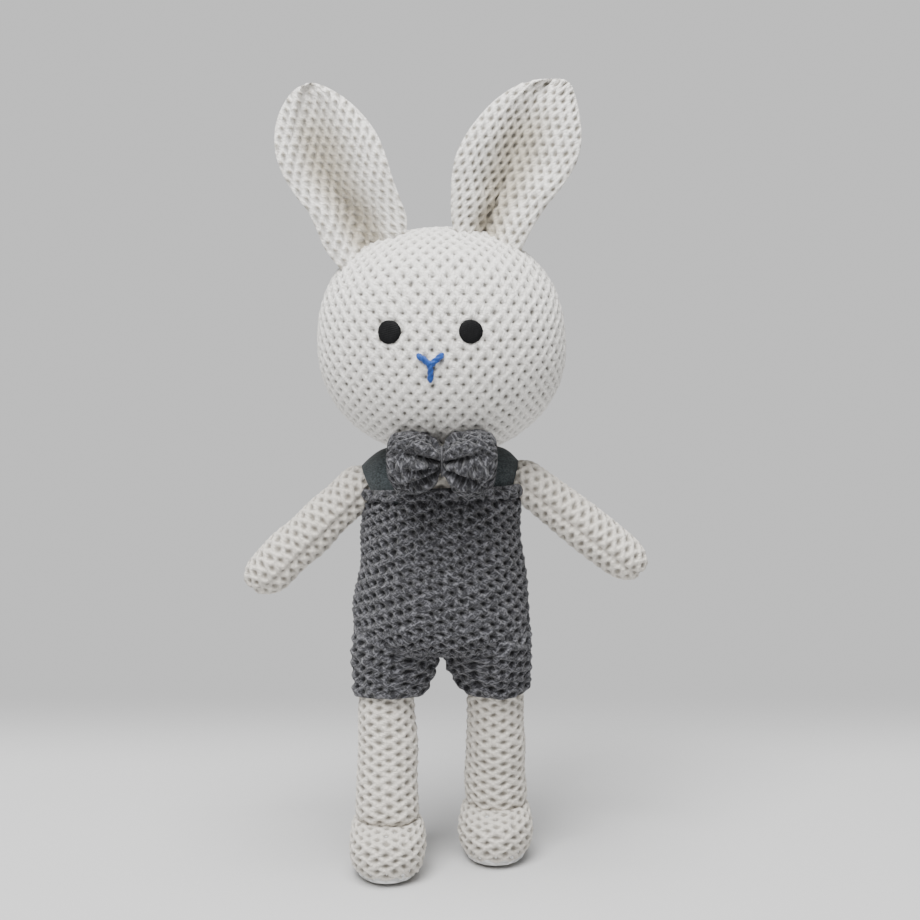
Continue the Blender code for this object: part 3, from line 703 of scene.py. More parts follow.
def build_eye(name, x, height, radius):
    """A satin-stitched disc: parallel threads over a low dome with a ragged edge."""
    piece, p, q = new_grid(name + "_stitches", EYE_CELLS, EYE_CELLS)
    a, b = p * np.sqrt(1 - q * q / 2), q * np.sqrt(1 - p * p / 2)
    rim = np.hypot(a, b)
    way = np.arctan2(b, a)
    ragged = 1 + 0.010 * np.sin(13 * way + x * 900) + 0.008 * np.sin(29 * way) + 0.015 * np.sin(3 * way + 1)
    spot, out = face_spot(x, height)
    local = np.stack([a * radius * ragged, b * radius * ragged], axis=1)
    ends = smooth(0.97, 1.0, rim)
    threads = np.abs(np.sin(math.pi * (local[:, 0] * 0.25 + local[:, 1]) / STITCH / 2))
    dome = EYE_DOME * np.sqrt(np.clip(1 - rim ** 4, 0, 1)) + 0.00016 * threads * (1 - ends) - 0.0016 * ends
    across = Vector((1, 0, 0)) - out * out.x
    across.normalize()
    up = across.cross(out)
    up = up if up.z > 0 else -up
    flat = np.array(spot) + local[:, :1] * np.array(across) + local[:, 1:] * np.array(up)
    rise = flat[:, 2] - HEAD_MIDDLE
    level = (1 - np.abs(rise / (HEAD_TOP - HEAD_MIDDLE)) ** CROWN_FULLNESS) ** (1 / CROWN_FULLNESS)
    flat[:, 1] = -HEAD_HALF_DEPTH * np.sqrt(level ** 2 - (flat[:, 0] / HEAD_HALF_WIDTH) ** 2)
    points = flat + dome[:, None] * np.array(out)
    lay_cloth(piece, points, local, np.zeros(len(points)))
    eye = sew([piece], MATERIALS["eye"])
    thicken(eye, EYE_BACK)
    finish_piece(eye, "head", (name,))


def thicken(piece, amount):
    """Give an open sheet a closed back."""
    bpy.context.view_layer.objects.active = piece
    wall = piece.modifiers.new("wall", "SOLIDIFY")
    wall.thickness = amount
    wall.offset = -1
    bpy.ops.object.modifier_apply(modifier=wall.name)


PLIES, TWIST_LENGTH, THREAD_STEP, THREAD_SIDES = 3, 0.0042, 0.00028, 36


def twisted_thread(name, path, radius, material):
    """A thread of twisted plies along a path, with rounded closed ends."""
    path = np.array(path, float)
    count = max(int(np.linalg.norm(np.diff(path, axis=0), axis=1).sum() / THREAD_STEP), 12)
    centre, run = line_curve(path, count + 1)
    piece, s, t = new_grid(name, THREAD_SIDES, count)
    row = grid_index(-t, count)
    along = np.gradient(centre, axis=0)
    along /= np.linalg.norm(along, axis=1)[:, None]
    side = np.cross(along, np.array([0.0, -1.0, 0.001]))
    side /= np.linalg.norm(side, axis=1)[:, None]
    lift = np.cross(side, along)
    angle = s * math.pi
    end = np.minimum(run, run[-1] - run)
    taper = np.sqrt(np.clip(1 - (1 - np.clip(end / radius, 0, 1)) ** 2, 0, 1))
    twist = TURN * run[row] / TWIST_LENGTH / PLIES * 1.5
    lobes = 1 + 0.30 * (np.abs(np.cos(PLIES * (angle + twist) / 2)) - 0.6)
    reach = radius * taper[row] * lobes
    points = (centre[row] + side[row] * (reach * np.cos(angle))[:, None]
              + lift[row] * (reach * np.sin(angle))[:, None])
    lay_cloth(piece, points, np.stack([angle * radius, run[row]], axis=1), np.zeros(len(points)))
    return sew([piece], material)


def face_path(points, lift):
    """Points over the face at (x, height), sinking into the cloth at both ends."""
    path = []
    for n, (x, height) in enumerate(points):
        spot, out = face_spot(x, height)
        path.append(spot + out * (lift if 0 < n < len(points) - 1 else -0.0008))
    return [tuple(point) for point in path]


class RABBIT_OT_face(bpy.types.Operator):
    """Embroider the eyes and the Y of the nose and mouth"""

    bl_idname = "rabbit.face"
    bl_label = "Eyes, nose and mouth"

    def execute(self, context):
        sizes = context.scene.rabbit_sizes
        for name, x, height in EYES:
            build_eye(name, x, height, sizes.eye_radius)
        low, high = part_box("nose_mouth_stitch")
        middle = (low.x + high.x) / 2
        fork, half = low.z + 0.0080, sizes.thread_width / 2
        runs = []
        for (_, sign), top in zip(SIDES, (high.z - 0.0010, high.z - 0.0007)):
            end = middle + sign * 0.0054
            runs.append([(end, top), (end - sign * 0.0008, top - 0.0007),
                         (middle + sign * 0.0027, fork + 0.0026), (middle + sign * 0.0004, fork + 0.0004),
                         (middle, fork - 0.0008)])
        runs.append([(middle, fork + 0.0012), (middle, fork), (middle + 0.0001, fork - 0.0040),
                     (middle, low.z + 0.0018), (middle, low.z + 0.0010)])
        threads = [twisted_thread("nose_thread", face_path(run, half * 0.75), half, MATERIALS["nose"])
                   for run in runs]
        bpy.ops.object.select_all(action="DESELECT")
        for thread in threads:
            thread.select_set(True)
        context.view_layer.objects.active = threads[0]
        bpy.ops.object.join()
        finish_piece(context.object, "head", ("nose_mouth_stitch",))
        return {"FINISHED"}


# Ears

EAR_PILLOW, EAR_BACK_PILLOW = 0.0046, 0.0028
EAR_ROUNDING = 0.0088
EAR_EDGES = {
    "left": [(0.2985, -0.0440, -0.0175), (0.3060, -0.0485, -0.0165), (0.3176, -0.0590, -0.0160),
             (0.3273, -0.0672, -0.0192), (0.3369, -0.0732, -0.0226), (0.3466, -0.0768, -0.0256),
             (0.3562, -0.0776, -0.0296), (0.3650, -0.0760, -0.0360), (0.3725, -0.0722, -0.0440),
             (0.3775, -0.0676, -0.0520), (0.3795, -0.0630, -0.0570), (0.3802, -0.0605, -0.0595)],
    "right": [(0.3020, 0.0360, 0.0070), (0.3090, 0.0380, 0.0060), (0.3176, 0.0435, 0.0048),
              (0.3273, 0.0525, 0.0046), (0.3369, 0.0596, 0.0050), (0.3466, 0.0642, 0.0068),
              (0.3562, 0.0655, 0.0115), (0.3650, 0.0648, 0.0180), (0.3725, 0.0632, 0.0255),
              (0.3785, 0.0612, 0.0345), (0.3812, 0.0585, 0.0440), (0.3820, 0.0545, 0.0505)],
}
EAR_VALLEY = {"left": (-0.10, -0.34), "right": (0.10, 0.00)}


def ear_form(p, q, rows, layer, side):
    """A point of the ear, its flat cloth, how near the rim it is, and how deep in the hollow, which sets the tint
    and painted shade there.
    """
    row = grid_index(q, rows)
    edges, _ = line_curve(EAR_EDGES[side], rows + 1)
    height, outer, inner = edges[row].T
    share = (height - height.min()) / (height.max() - height.min())
    x = (outer + inner) / 2 + p * (inner - outer) / 2
    base_y = JOINTS[side + "_ear_fold"]["pos_m"][1]
    crown = HEAD_MIDDLE + (HEAD_TOP - HEAD_MIDDLE) * (
        1 - np.clip(np.abs(x) / HEAD_HALF_WIDTH, 0, 0.95) ** CROWN_FULLNESS) ** (1 / CROWN_FULLNESS)
    height = height + (crown - crown[row == 0].mean()) * (1 - smooth(0.0, 0.30, share))
    half_width = np.abs(inner - outer) / 2
    to_side = (1 - np.abs(p)) * half_width * 0.92
    to_tip = (edges[-1, 0] - edges[row, 0]) * 1.15
    to_base = (edges[row, 0] - edges[0, 0]) * 1.6 + 0.0004 * (row > 0)
    near = np.min([to_side, to_tip + 0.0004 * (row < rows), to_base], axis=0) * (np.abs(p) < 0.9999)
    pillow = np.sqrt(np.clip(1 - (1 - np.clip(near / EAR_ROUNDING, 0, 1)) ** 2, 0, 1))
    low, high = EAR_VALLEY[side]
    valley = low + (high - low) * share
    off = np.abs(p - valley) / np.where(p > valley, 1 - valley, 1 + valley)
    sharp = 1.10 + 0.7 * smooth(0.05, 0.60, share)
    cup = (0.0118 - 0.0086 * smooth(0.50, 0.95, share)) * off ** sharp
    crease = 0.0022 * np.exp(-(off * half_width / 0.0028) ** 2) * (1 - smooth(0.20, 0.70, share))
    if layer < 0:
        plump = EAR_PILLOW * pillow * (0.45 + 0.75 * np.sin(math.pi * np.clip(off, 0, 1) ** 1.3))
        y = base_y + 0.0005 - cup - (plump - crease * pillow)
        # Mask of the hollow's tint and painted shade: deepest along the valley, fading towards the rims and the tip.
        hollow = (1 - smooth(0.15, 0.68, off)) * smooth(0.003, 0.010, to_side) * (1 - smooth(0.66, 0.92, share))
    else:
        y = base_y + 0.0005 - cup * (1.0 - 0.15 * pillow) + EAR_BACK_PILLOW * pillow
        hollow = 0 * x
    points = np.stack([x, y, height], axis=1)
    return points, np.stack([p * half_width * 1.05, height * 1.04], axis=1), near, hollow


class RABBIT_OT_ears(bpy.types.Operator):
    """Sew each ear's front and back into a cupped leaf with soft edges"""

    bl_idname = "rabbit.ears"
    bl_label = "Ears"

    def execute(self, context):
        sizes = context.scene.rabbit_sizes
        for side, sign in SIDES:
            spots = np.array(EAR_EDGES[side])
            rows = int(1.08 * (spots[-1, 0] - spots[0, 0]) / sizes.cell)
            across = int(1.25 * np.abs(spots[:, 2] - spots[:, 1]).max() / sizes.cell)
            sheets = []
            for layer in (-1, 1):
                sheet, p, q = new_grid(side + "_ear_cover", across, rows)
                points, cloth, near, hollow = ear_form(p, q, rows, layer, side)
                cloth = loosened(cloth, points, 91 + sign, 0.00026)
                relief = knit_relief("ear", cloth, KNIT_DEPTH["ear"])
                relief *= smooth(0.0002, 0.0014, near)
                relief += waves("ear", points, 5 + sign) * smooth(0.0, 0.004, near)
                lay_cloth(sheet, points, cloth, relief, hollow=hollow)
                sheets.append(sheet)
            ear = sew(sheets, MATERIALS["ear"])
            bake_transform(ear)
            finish_piece(ear, None, [side + "_ear_" + part for part in
                                                   ("front_panel", "back_panel", "wadding")])
        return {"FINISHED"}


# Torso and overalls

TORSO_FLATNESS = 0.75
TORSO_LINE = [(0, 0.2064), (0.012, 0.2062), (0.0205, 0.2048), (0.0292, 0.2008), (0.0334, 0.1950),
              (0.0334, 0.1880), (0.0322, 0.1800), (0.0320, 0.1650), (0.0320, 0.156), (0.028, 0.154), (0, 0.153)]
OVERALLS_TOP, HEM_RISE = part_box("overalls_front")[1].z, 0.0032
OVERALLS_SEAM = (0.0016, 0.0015)
OVERALLS_CLOTH_RADIUS, TORSO_CLOTH_RADIUS, HEM_INSIDE = 0.038, 0.033, 0.152
OVERALLS_INSIDE = [(0, 0.1512), (0.020, 0.1512), (0.0335, 0.1516)]
OVERALLS_LINE = [(0.0374, 0.1835), (0.0376, 0.1720), (0.0388, 0.1560), (0.0410, 0.1400), (0.0420, 0.1280),
                 (0.0405, 0.1190), (0.0340, 0.1128), (0.0200, 0.1096), (0.0080, 0.1090), (0, 0.1090)]


def hem_roll(radius_at, height, radius, inner_height):
    """Half outline of a folded hem: up the inside, over a roll, and out to the cloth below it."""
    inside = radius_at - 0.0016
    return [(inside - 0.0002, inner_height), (inside - 0.0004, height - 2.2 * radius),
            (inside - 0.0002, height - 0.8 * radius), (inside + 0.0008, height - 0.15 * radius),
            (radius_at + 0.0004, height), (radius_at + 0.7 * radius, height - 0.5 * radius),
            (radius_at + 0.75 * radius, height - 1.3 * radius), (radius_at + 0.30 * radius, height - 2.3 * radius)]


class RABBIT_OT_torso(bpy.types.Operator):
    """Sew the torso under the overalls, whose neck and shoulders show"""

    bl_idname = "rabbit.torso"
    bl_label = "Torso"

    def execute(self, context):
        sizes = context.scene.rabbit_sizes
        piece, points, cloth, to_seam, run = turned_cloth("torso_cover", TORSO_LINE, *CELLS["torso"],
                                                          TORSO_FLATNESS, TORSO_CLOTH_RADIUS)
        cloth = loosened(cloth, points, 15)
        relief = knit_relief("limb", cloth, KNIT_DEPTH["torso"])
        relief *= smooth(0.002, 0.010, np.hypot(*points[:, :2].T))
        groove, left = seam_groove(to_seam, sizes.seam_width, sizes.seam_depth)
        lay_cloth(piece, points, cloth, relief * left + groove * smooth(0, 0.01, run))
        torso = sew([piece], MATERIALS["limb"])
        finish_piece(torso, "torso", ("torso_front_skin", "torso_back_skin"))
        return {"FINISHED"}


class RABBIT_OT_overalls(bpy.types.Operator):
    """Sew the overalls' front and back into a tube with a rolled hem that hangs over the hips"""

    bl_idname = "rabbit.overalls"
    bl_label = "Overalls"

    def execute(self, context):
        sizes = context.scene.rabbit_sizes
        hem = hem_roll(0.0366, OVERALLS_TOP + HEM_RISE, sizes.hem_radius, HEM_INSIDE)
        line = OVERALLS_INSIDE + hem + OVERALLS_LINE
        piece, points, cloth, to_seam, run = turned_cloth("overalls_cover", line, *CELLS["overalls"],
                                                          TORSO_FLATNESS, OVERALLS_CLOTH_RADIUS)
        angle = np.arctan2(points[:, 0], -points[:, 1] / TORSO_FLATNESS)
        top_run = run[np.argmax(points[:, 2])]
        outside = smooth(top_run, top_run + 0.0016, run)
        below_hem = smooth(top_run + 0.0028, top_run + 0.0056, run)
        cloth = loosened(cloth, points, 25)
        relief = knit_relief("overalls", cloth, KNIT_DEPTH["overalls"], sizes.overalls_slant) * outside
        relief *= 0.45 + 0.55 * below_hem
        groove, left = seam_groove(to_seam, *OVERALLS_SEAM)
        middle = smooth(0.010, 0.020, np.hypot(points[:, 0], points[:, 1]))
        relief = relief * left * (0.3 + 0.7 * middle) + groove * outside * middle
        relief += waves("overalls", points, 21) * outside
        relief += waves("bib", points, 22) * outside * (1 - below_hem)
        relief -= 0.0020 * np.exp(-((run - top_run - 0.0078) / 0.0011) ** 2)
        points[:, 2] += 0.0016 * np.cos(2 * angle) * smooth(top_run - 0.02, top_run, run) * (
            1 - smooth(top_run, top_run + 0.03, run))
        points[:, 2] += 0.0013 * np.sin(angle) * smooth(0.17, 0.19, points[:, 2])
        lay_cloth(piece, points, cloth, relief)
        overalls = sew([piece], MATERIALS["overalls"])
        finish_piece(overalls, "torso", ("overalls_front", "overalls_back"))
        return {"FINISHED"}


SHORTS_HEM = {"left": 0.0002, "right": 0.0030}
SHORTS_RADIUS, SHORTS_SEAM = 0.0152, (0.0014, 0.0012)
HEM_FOLD = [(-0.0024, 0.0060), (-0.0024, 0.0016), (-0.0014, 0.0001), (0.0002, -0.0003), (0.0013, 0.0009),
            (0.0015, 0.0032), (0.0010, 0.0056), (0.0014, 0.009)]
SHORTS_INSIDE = [(0, 0.0030), (0.008, 0.0030), (SHORTS_RADIUS - 0.0022, 0.0020)]
SHORTS_OUTSIDE = [(0.0166, -0.0080), (0.0163, 0.0000), (0.0154, 0.0070), (0.0110, 0.0130), (0.0050, 0.0150),
                  (0, 0.0152)]


class RABBIT_OT_shorts(bpy.types.Operator):
    """Sew the legs of the overalls"""

    bl_idname = "rabbit.shorts"
    bl_label = "Legs of the overalls"

    def execute(self, context):
        sizes = context.scene.rabbit_sizes
        for side, sign in SIDES:
            place, _ = limb_frame(side + "_leg_skin", side + "_leg_swing")
            hem_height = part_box(side + "_shorts_leg")[0].z - place.translation.z + SHORTS_HEM[side]
            hem = [(SHORTS_RADIUS + out, hem_height + rise) for out, rise in HEM_FOLD]
            line = SHORTS_INSIDE + hem + SHORTS_OUTSIDE
            piece, points, cloth, to_seam, run = turned_cloth(side + "_shorts_cover", line, *CELLS["shorts"],
                                                              1.0, SHORTS_RADIUS)
            low_run = run[np.argmin(points[:, 2])]
            outside = smooth(low_run, low_run + 0.0016, run)
            above_hem = smooth(low_run + 0.0024, low_run + 0.0050, run)
            full = smooth(-0.020, 0.004, points[:, 2]) * outside
            points[:, 1] *= 1 + 0.36 * full
            inner_side = smooth(0.0, 0.010, -points[:, 0] * sign)
            points[:, 0] *= 1 + 0.03 * full + 0.50 * inner_side * smooth(-0.036, -0.003, points[:, 2]) * outside
            cloth[:, 0] += 0.0024 * sign
            cloth = loosened(cloth, points, 35 + sign)
            relief = knit_relief("overalls", cloth, KNIT_DEPTH["overalls"], sizes.overalls_slant) * outside
            relief *= 0.40 + 0.60 * above_hem
            groove, left = seam_groove(to_seam, *SHORTS_SEAM)
            relief = relief * left + groove * outside
            relief += waves("shorts", points, 31 + sign) * outside
            relief += waves("hem", points, 33 + sign) * outside * (1 - above_hem)
            lay_cloth(piece, placed(points, place), cloth, relief)
            shorts = sew([piece], MATERIALS["overalls"])
            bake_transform(shorts)
            finish_piece(shorts, None, (side + "_shorts_leg",))
        return {"FINISHED"}


STRAP_ENDS = {"left": ((-0.0196, -0.0300), (-0.0262, -0.0385), 0.2076, 0.1990),
              "right": ((0.0205, 0.0312), (0.0252, 0.0372), 0.2088, 0.2014)}
STRAP_FOOT, STRAP_SWEEP, SHOULDER_RADIUS = 0.1800, math.radians(97), 0.0336


class RABBIT_OT_straps(bpy.types.Operator):
    """Cut the felt straps and lay them from the bib over the shoulders to the back"""

    bl_idname = "rabbit.straps"
    bl_label = "Shoulder straps"

    def execute(self, context):
        thickness = context.scene.rabbit_sizes.strap_thickness
        for side, sign in SIDES:
            (near, far), (top_near, top_far), near_top, far_top = STRAP_ENDS[side]
            strap, s, t = new_grid(side + "_strap_band", *CELLS["strap"])
            lean = t * STRAP_SWEEP
            share = (s + 1) / 2
            rise = np.cos(lean)
            foot_x, top_x = near + (far - near) * share, top_near + (top_far - top_near) * share
            top_z = near_top + (far_top - near_top) * share
            depth = TORSO_FLATNESS * np.sqrt(SHOULDER_RADIUS ** 2 - foot_x ** 2) + 0.0012
            arch = np.abs(rise) ** 0.85 * np.sign(rise)
            crown = 0.0012 * (1 - s ** 2)
            points = np.stack([foot_x + (top_x - foot_x) * np.clip(arch, 0, 1),
                               np.sin(lean) * depth, STRAP_FOOT + (top_z - STRAP_FOOT) * arch + crown], axis=1)
            points += waves("strap", points, 41 + sign)[:, None]
            cloth = np.stack([foot_x, lean * 0.02], axis=1)
            lay_cloth(strap, points, cloth, np.zeros(len(points)))
            sew([strap], MATERIALS["felt"])
            thicken(strap, thickness)
            soften = strap.modifiers.new("worn_edge", "BEVEL")
            soften.width, soften.segments = thickness * 0.35, 2
            bpy.ops.object.modifier_apply(modifier=soften.name)
            bpy.ops.object.shade_smooth()
            finish_piece(strap, "torso", (side + "_strap",))
        return {"FINISHED"}


# Arms, legs and booties

ARM_RADIUS, LEG_RADIUS, ANKLE = 0.0104, 0.0137, -0.0845
ARM_RUN, LEG_RUN = 0.104, 0.125
ARM_SEAM = {"left": math.radians(24), "right": math.radians(-10)}
ARM_LINE = [(0, 0.0092), (0.0040, 0.0086), (0.0072, 0.0060), (0.0090, 0.0018), (0.0097, -0.0050),
            (0.0100, -0.0180), (0.0104, -0.0340), (0.0106, -0.0480), (0.0102, -0.0590), (0.0088, -0.0650),
            (0.0062, -0.0692), (0.0030, -0.0711)]
LEG_LINE = [(0, 0.0085), (0.0080, 0.0070), (0.0122, 0.0010), (0.0128, -0.0120), (0.0129, -0.0240),
            (0.0134, -0.0400), (0.0139, -0.0560), (0.0144, -0.0720), (0.0146, -0.0810), (0.0141, ANKLE),
            (0.0110, ANKLE - 0.0030), (0, ANKLE - 0.0040)]


class RABBIT_OT_arms(bpy.types.Operator):
    """Sew each arm as a stuffed tube with a seam along its front and back"""

    bl_idname = "rabbit.arms"
    bl_label = "Arms"

    def execute(self, context):
        sizes = context.scene.rabbit_sizes
        for side, sign in SIDES:
            place, reach = limb_frame(side + "_arm_skin", side + "_arm_lift")
            line = ARM_LINE + [(0, -reach)]
            columns, rows = int(TURN * ARM_RADIUS / sizes.cell), int(ARM_RUN / sizes.cell)
            piece, points, _, _, run = turned_cloth(side + "_arm_cover", line, columns, rows, 1.0, ARM_RADIUS)
            angle = np.arctan2(points[:, 0], -points[:, 1])
            front = np.arctan2(np.sin(angle - ARM_SEAM[side]), np.cos(angle - ARM_SEAM[side]))
            away = np.minimum(np.abs(front), math.pi - np.abs(front)) * np.hypot(points[:, 0], points[:, 1])
            wander = 0.0003 * np.sin(run * 520) * smooth(0.02, 0.03, run)
            groove, left = seam_groove(np.abs(away + wander), sizes.seam_width, SEAM_DEPTH["arm"])
            cloth = np.stack([np.abs(front) * ARM_RADIUS + np.where(front > 0, 0.0021, 0), -run], axis=1)
            tip = smooth(0.0, 0.004, np.hypot(points[:, 0], points[:, 1]))
            cloth = loosened(cloth, points, 53 + sign)
            relief = knit_relief("limb", cloth, KNIT_DEPTH["limb"]) * left * tip + groove * tip
            relief += waves("arm", points, 51 + sign)
            lay_cloth(piece, placed(points, place), cloth, relief)
            arm = sew([piece], MATERIALS["limb"])
            finish_piece(arm, side + "_arm", (side + "_arm_skin",))
        return {"FINISHED"}


class RABBIT_OT_legs(bpy.types.Operator):
    """Sew each leg as a stuffed tube that widens to the ankle"""

    bl_idname = "rabbit.legs"
    bl_label = "Legs"

    def execute(self, context):
        sizes = context.scene.rabbit_sizes
        for side, sign in SIDES:
            place, _ = limb_frame(side + "_leg_skin", side + "_leg_swing")
            columns, rows = int(TURN * LEG_RADIUS / sizes.cell), int(LEG_RUN / sizes.cell)
            piece, points, cloth, to_seam, _ = turned_cloth(side + "_leg_cover", LEG_LINE, columns, rows, 1.0,
                                                            LEG_RADIUS, seam=0.55)
            cloth[:, 0] += 0.0012 * sign
            groove, left = seam_groove(to_seam, sizes.seam_width, SEAM_DEPTH["leg"])
            shown = smooth(0.0, 0.006, np.hypot(points[:, 0], points[:, 1]))
            cloth = loosened(cloth, points, 63 + sign)
            relief = (knit_relief("limb", cloth, KNIT_DEPTH["limb"]) * left + groove) * shown
            relief += waves("leg", points, 61 + sign)
            lay_cloth(piece, placed(points, place), cloth, relief)
            leg = sew([piece], MATERIALS["limb"])
            finish_piece(leg, side + "_leg", (side + "_leg_skin",))
        return {"FINISHED"}


FOOT_STRETCH, FOOT_PERIODS = 1.30, 12
FOOT_RUN, FOOT_COLUMNS, FOOT_RADIUS = 0.078, 165, 0.0165
FOOT_LINE = [(0, 0.0278), (0.0080, 0.0280), (0.0128, 0.0278), (0.0149, 0.0270), (0.0165, 0.0248),
             (0.0176, 0.0198), (0.0179, 0.0148), (0.0173, 0.0100), (0.0158, 0.0058), (0.0136, 0.0024),
             (0.0116, 0.0007), (0.0090, 0.0001), (0, 0.0001)]


class RABBIT_OT_booties(bpy.types.Operator):
    """Sew each bootie: a full upper round the ankle and a flat sole"""

    bl_idname = "rabbit.booties"
    bl_label = "Booties"

    def execute(self, context):
        sizes = context.scene.rabbit_sizes
        for side, sign in SIDES:
            low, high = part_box(side + "_bootie_upper")
            middle = Vector(((low.x + high.x) / 2, (low.y + high.y) / 2, 0))
            ankle_y = middle.y + 0.006
            rows = int(FOOT_RUN / sizes.cell)
            piece, points, _, _, _ = turned_cloth(side + "_bootie_cover", FOOT_LINE, FOOT_COLUMNS, rows, 1.0,
                                                  FOOT_RADIUS)
            radius = np.hypot(points[:, 0], points[:, 1])
            angle = np.arctan2(points[:, 0], -points[:, 1])
            flat_share = smooth(0.0281, 0.0208, points[:, 2])
            widened = 1 + (FOOT_STRETCH - 1) * flat_share
            points[:, 1] = points[:, 1] * widened + middle.y * flat_share + ankle_y * (1 - flat_share)
            points[:, 0] += middle.x
            lines = points.reshape(rows + 1, -1, 3)[::-1]
            steps = np.linalg.norm(np.diff(lines, axis=0, prepend=lines[:1]), axis=2)
            down = np.cumsum(steps, axis=0)[::-1].ravel()
            cloth = np.stack([angle * FOOT_PERIODS * sizes.limb_pitch[0] / TURN, -down], axis=1)
            under = (points[:, 2] < 0.0012) & (radius < 0.0125)
            cloth[under] = points[under, :2]
            cloth = loosened(cloth, points, 73 + sign)
            sole = smooth(0.0020, 0.0004, points[:, 2])
            seam_ring = np.exp(-((points[:, 2] - 0.0030) / 0.0010) ** 2) * smooth(0.012, 0.0145, radius)
            ankle_ring = np.exp(-((radius - 0.0144) / 0.0007) ** 2) * smooth(0.0240, 0.0255, points[:, 2])
            relief = knit_relief("limb", cloth, KNIT_DEPTH["limb"])
            relief *= (1 - 0.75 * sole) * (1 - ankle_ring) * smooth(0.0125, 0.0150, radius)
            relief -= 0.0009 * seam_ring + 0.0012 * ankle_ring
            relief += waves("bootie", points, 71 + sign) * (1 - sole)
            lay_cloth(piece, points, cloth, relief)
            bootie = sew([piece], MATERIALS["limb"])
            settled = vertex_points(bootie)
            settled[:, 2] = np.maximum(settled[:, 2], 0.0)
            set_points(bootie, settled)
            finish_piece(bootie, side + "_leg", (side + "_bootie_upper", side + "_bootie_sole"))
        return {"FINISHED"}


# Bow tie

BOW_MIDDLE, BOW_TILT, BOW_BACK = (-0.0420, 0.2085), math.radians(14), 1.6
BOW_TOP = ((0, 0.05, 0.13, 0.26, 0.45, 0.70, 0.88, 0.96, 0.99, 1),
           (0.0086, 0.0090, 0.0108, 0.0124, 0.0130, 0.0131, 0.0122, 0.0098, 0.0062, 0.0))
BOW_BOTTOM = ((0, 0.04, 0.12, 0.24, 0.42, 0.62, 0.80, 0.91, 0.97, 1),
              (0.0066, 0.0078, 0.0112, 0.0140, 0.0153, 0.0154, 0.0140, 0.0108, 0.0064, 0.0))
BOW_THICKNESS = ((0, 0.06, 0.2, 0.42, 0.66, 0.86, 0.95, 1),
                 (0.0042, 0.0048, 0.0070, 0.0086, 0.0082, 0.0060, 0.0036, 0))
BOW_FOLDS = {
    -1: ((0.34, 0.0054, 0.15), (-0.42, 0.0040, 0.13), (-0.06, 0.0018, 0.09), (0.95, 0.0026, 0.15)),
    1: ((-0.34, 0.0056, 0.15), (0.30, 0.0034, 0.13), (-0.95, 0.0026, 0.13), (0.95, 0.0026, 0.15)),
}


class RABBIT_OT_bow_tie(bpy.types.Operator):
    """Pinch the bow tie's padded tube at its middle, so that folds spread into both lobes"""

    bl_idname = "rabbit.bow_tie"
    bl_label = "Bow tie"

    def execute(self, context):
        low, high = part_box("bow_tie")
        middle = Vector(((low.x + high.x) / 2, *BOW_MIDDLE))
        half_length = (high.x - low.x) / 2
        tilt = Matrix.Translation(middle) @ Matrix.Rotation(BOW_TILT, 4, "X")
        piece, s, t = new_grid("bow_tie_cover", *CELLS["bow"])
        x = t * half_length
        share = np.abs(t)
        top, bottom, thick = (np.interp(share, *outline) for outline in (BOW_TOP, BOW_BOTTOM, BOW_THICKNESS))
        top, bottom = np.where(t < 0, 0.98, 1.03) * top, np.where(t < 0, 0.95, 1.03) * bottom
        angle = s * math.pi
        c, w = np.cos(angle), np.sin(angle)
        up = np.sign(w) * np.abs(w) ** 0.75
        out = np.sign(c) * np.abs(c) ** 0.90
        z = np.where(w > 0, top, bottom) * up
        thick = np.where(out < 0, 1 + (BOW_BACK - 1) * smooth(0.05, 0.25, share), 1.0) * thick
        points = np.stack([x, -thick * out, z], axis=1)
        girth = np.interp(share, [0, 0.3, 1], [0.034, 0.054, 0.062])
        cloth = np.stack([x, s * girth / 2], axis=1)
        fan = np.arctan2(z, np.abs(x) + 0.0032)
        span = np.hypot(z, x)
        relief = np.zeros(len(points))
        for sign, folds in BOW_FOLDS.items():
            on_lobe = smooth(0.0, 0.0012, x * sign) * (points[:, 1] < 0.002)
            for bend, depth, width in folds:
                curve = fan - bend * (1 + 0.18 * np.sin(span * 160 + bend))
                reach = np.exp(-(span / 0.0195) ** 4) * smooth(0.0, 0.004, span)
                valley = np.exp(-(curve / (width * 0.8)) ** 2)
                ridge = np.exp(-((np.abs(curve) - 1.7 * width) / width) ** 2)
                relief -= on_lobe * depth * valley * reach
                relief += on_lobe * 0.35 * depth * ridge * reach
        rim = smooth(1.0, 0.94, share)
        cloth = loosened(cloth, points, 85)
        relief += knit_relief("bow", cloth, KNIT_DEPTH["bow"], BOW_SLANT) * rim * smooth(0.02, 0.10, share)
        relief += waves("bow", points, 81) * rim
        relief -= 0.0010 * np.exp(-(x / 0.0011) ** 2)
        lay_cloth(piece, placed(points, tilt), cloth, relief)
        bow = sew([piece], MATERIALS["bow"])
        finish_piece(bow, "torso", ("bow_tie",))
        return {"FINISHED"}


# Stuffing and threads that keep their solids

class RABBIT_OT_inside(bpy.types.Operator):
    """Give the stuffing, the wadding and the gathering threads their finish"""

    bl_idname = "rabbit.inside"
    bl_label = "Stuffing and threads"

    def execute(self, context):
        for name, node in frame["nodes"].items():
            kind = "stuffing" if "stuffing" in name or "wadding" in name else "sewing"
            kind = "marl_thread" if name == "bow_thread" else kind
            node.data.materials.clear()
            node.data.materials.append(MATERIALS[kind])
        return {"FINISHED"}


# Stage

VIEW_TARGET = Vector((0.00887, 0.0, 0.20186))
VIEW_DISTANCE = 1.011
VIEW_RISE = math.radians(10)
LENS, SENSOR = 82.38, 36.0
LIGHTS = (("key", (-0.45, -0.95, 1.60), (0, 0, 0.22), 0.8, 38), ("over", (0.0, -0.35, 1.7), (0, -0.1, 0.0), 1.0, 42))
FLOOR_FRONT, FLOOR_BACK, FLOOR_FADE = -3.0, 0.31, 0.14
ROOM_LOW, ROOM_HIGH = 0.78, 0.44


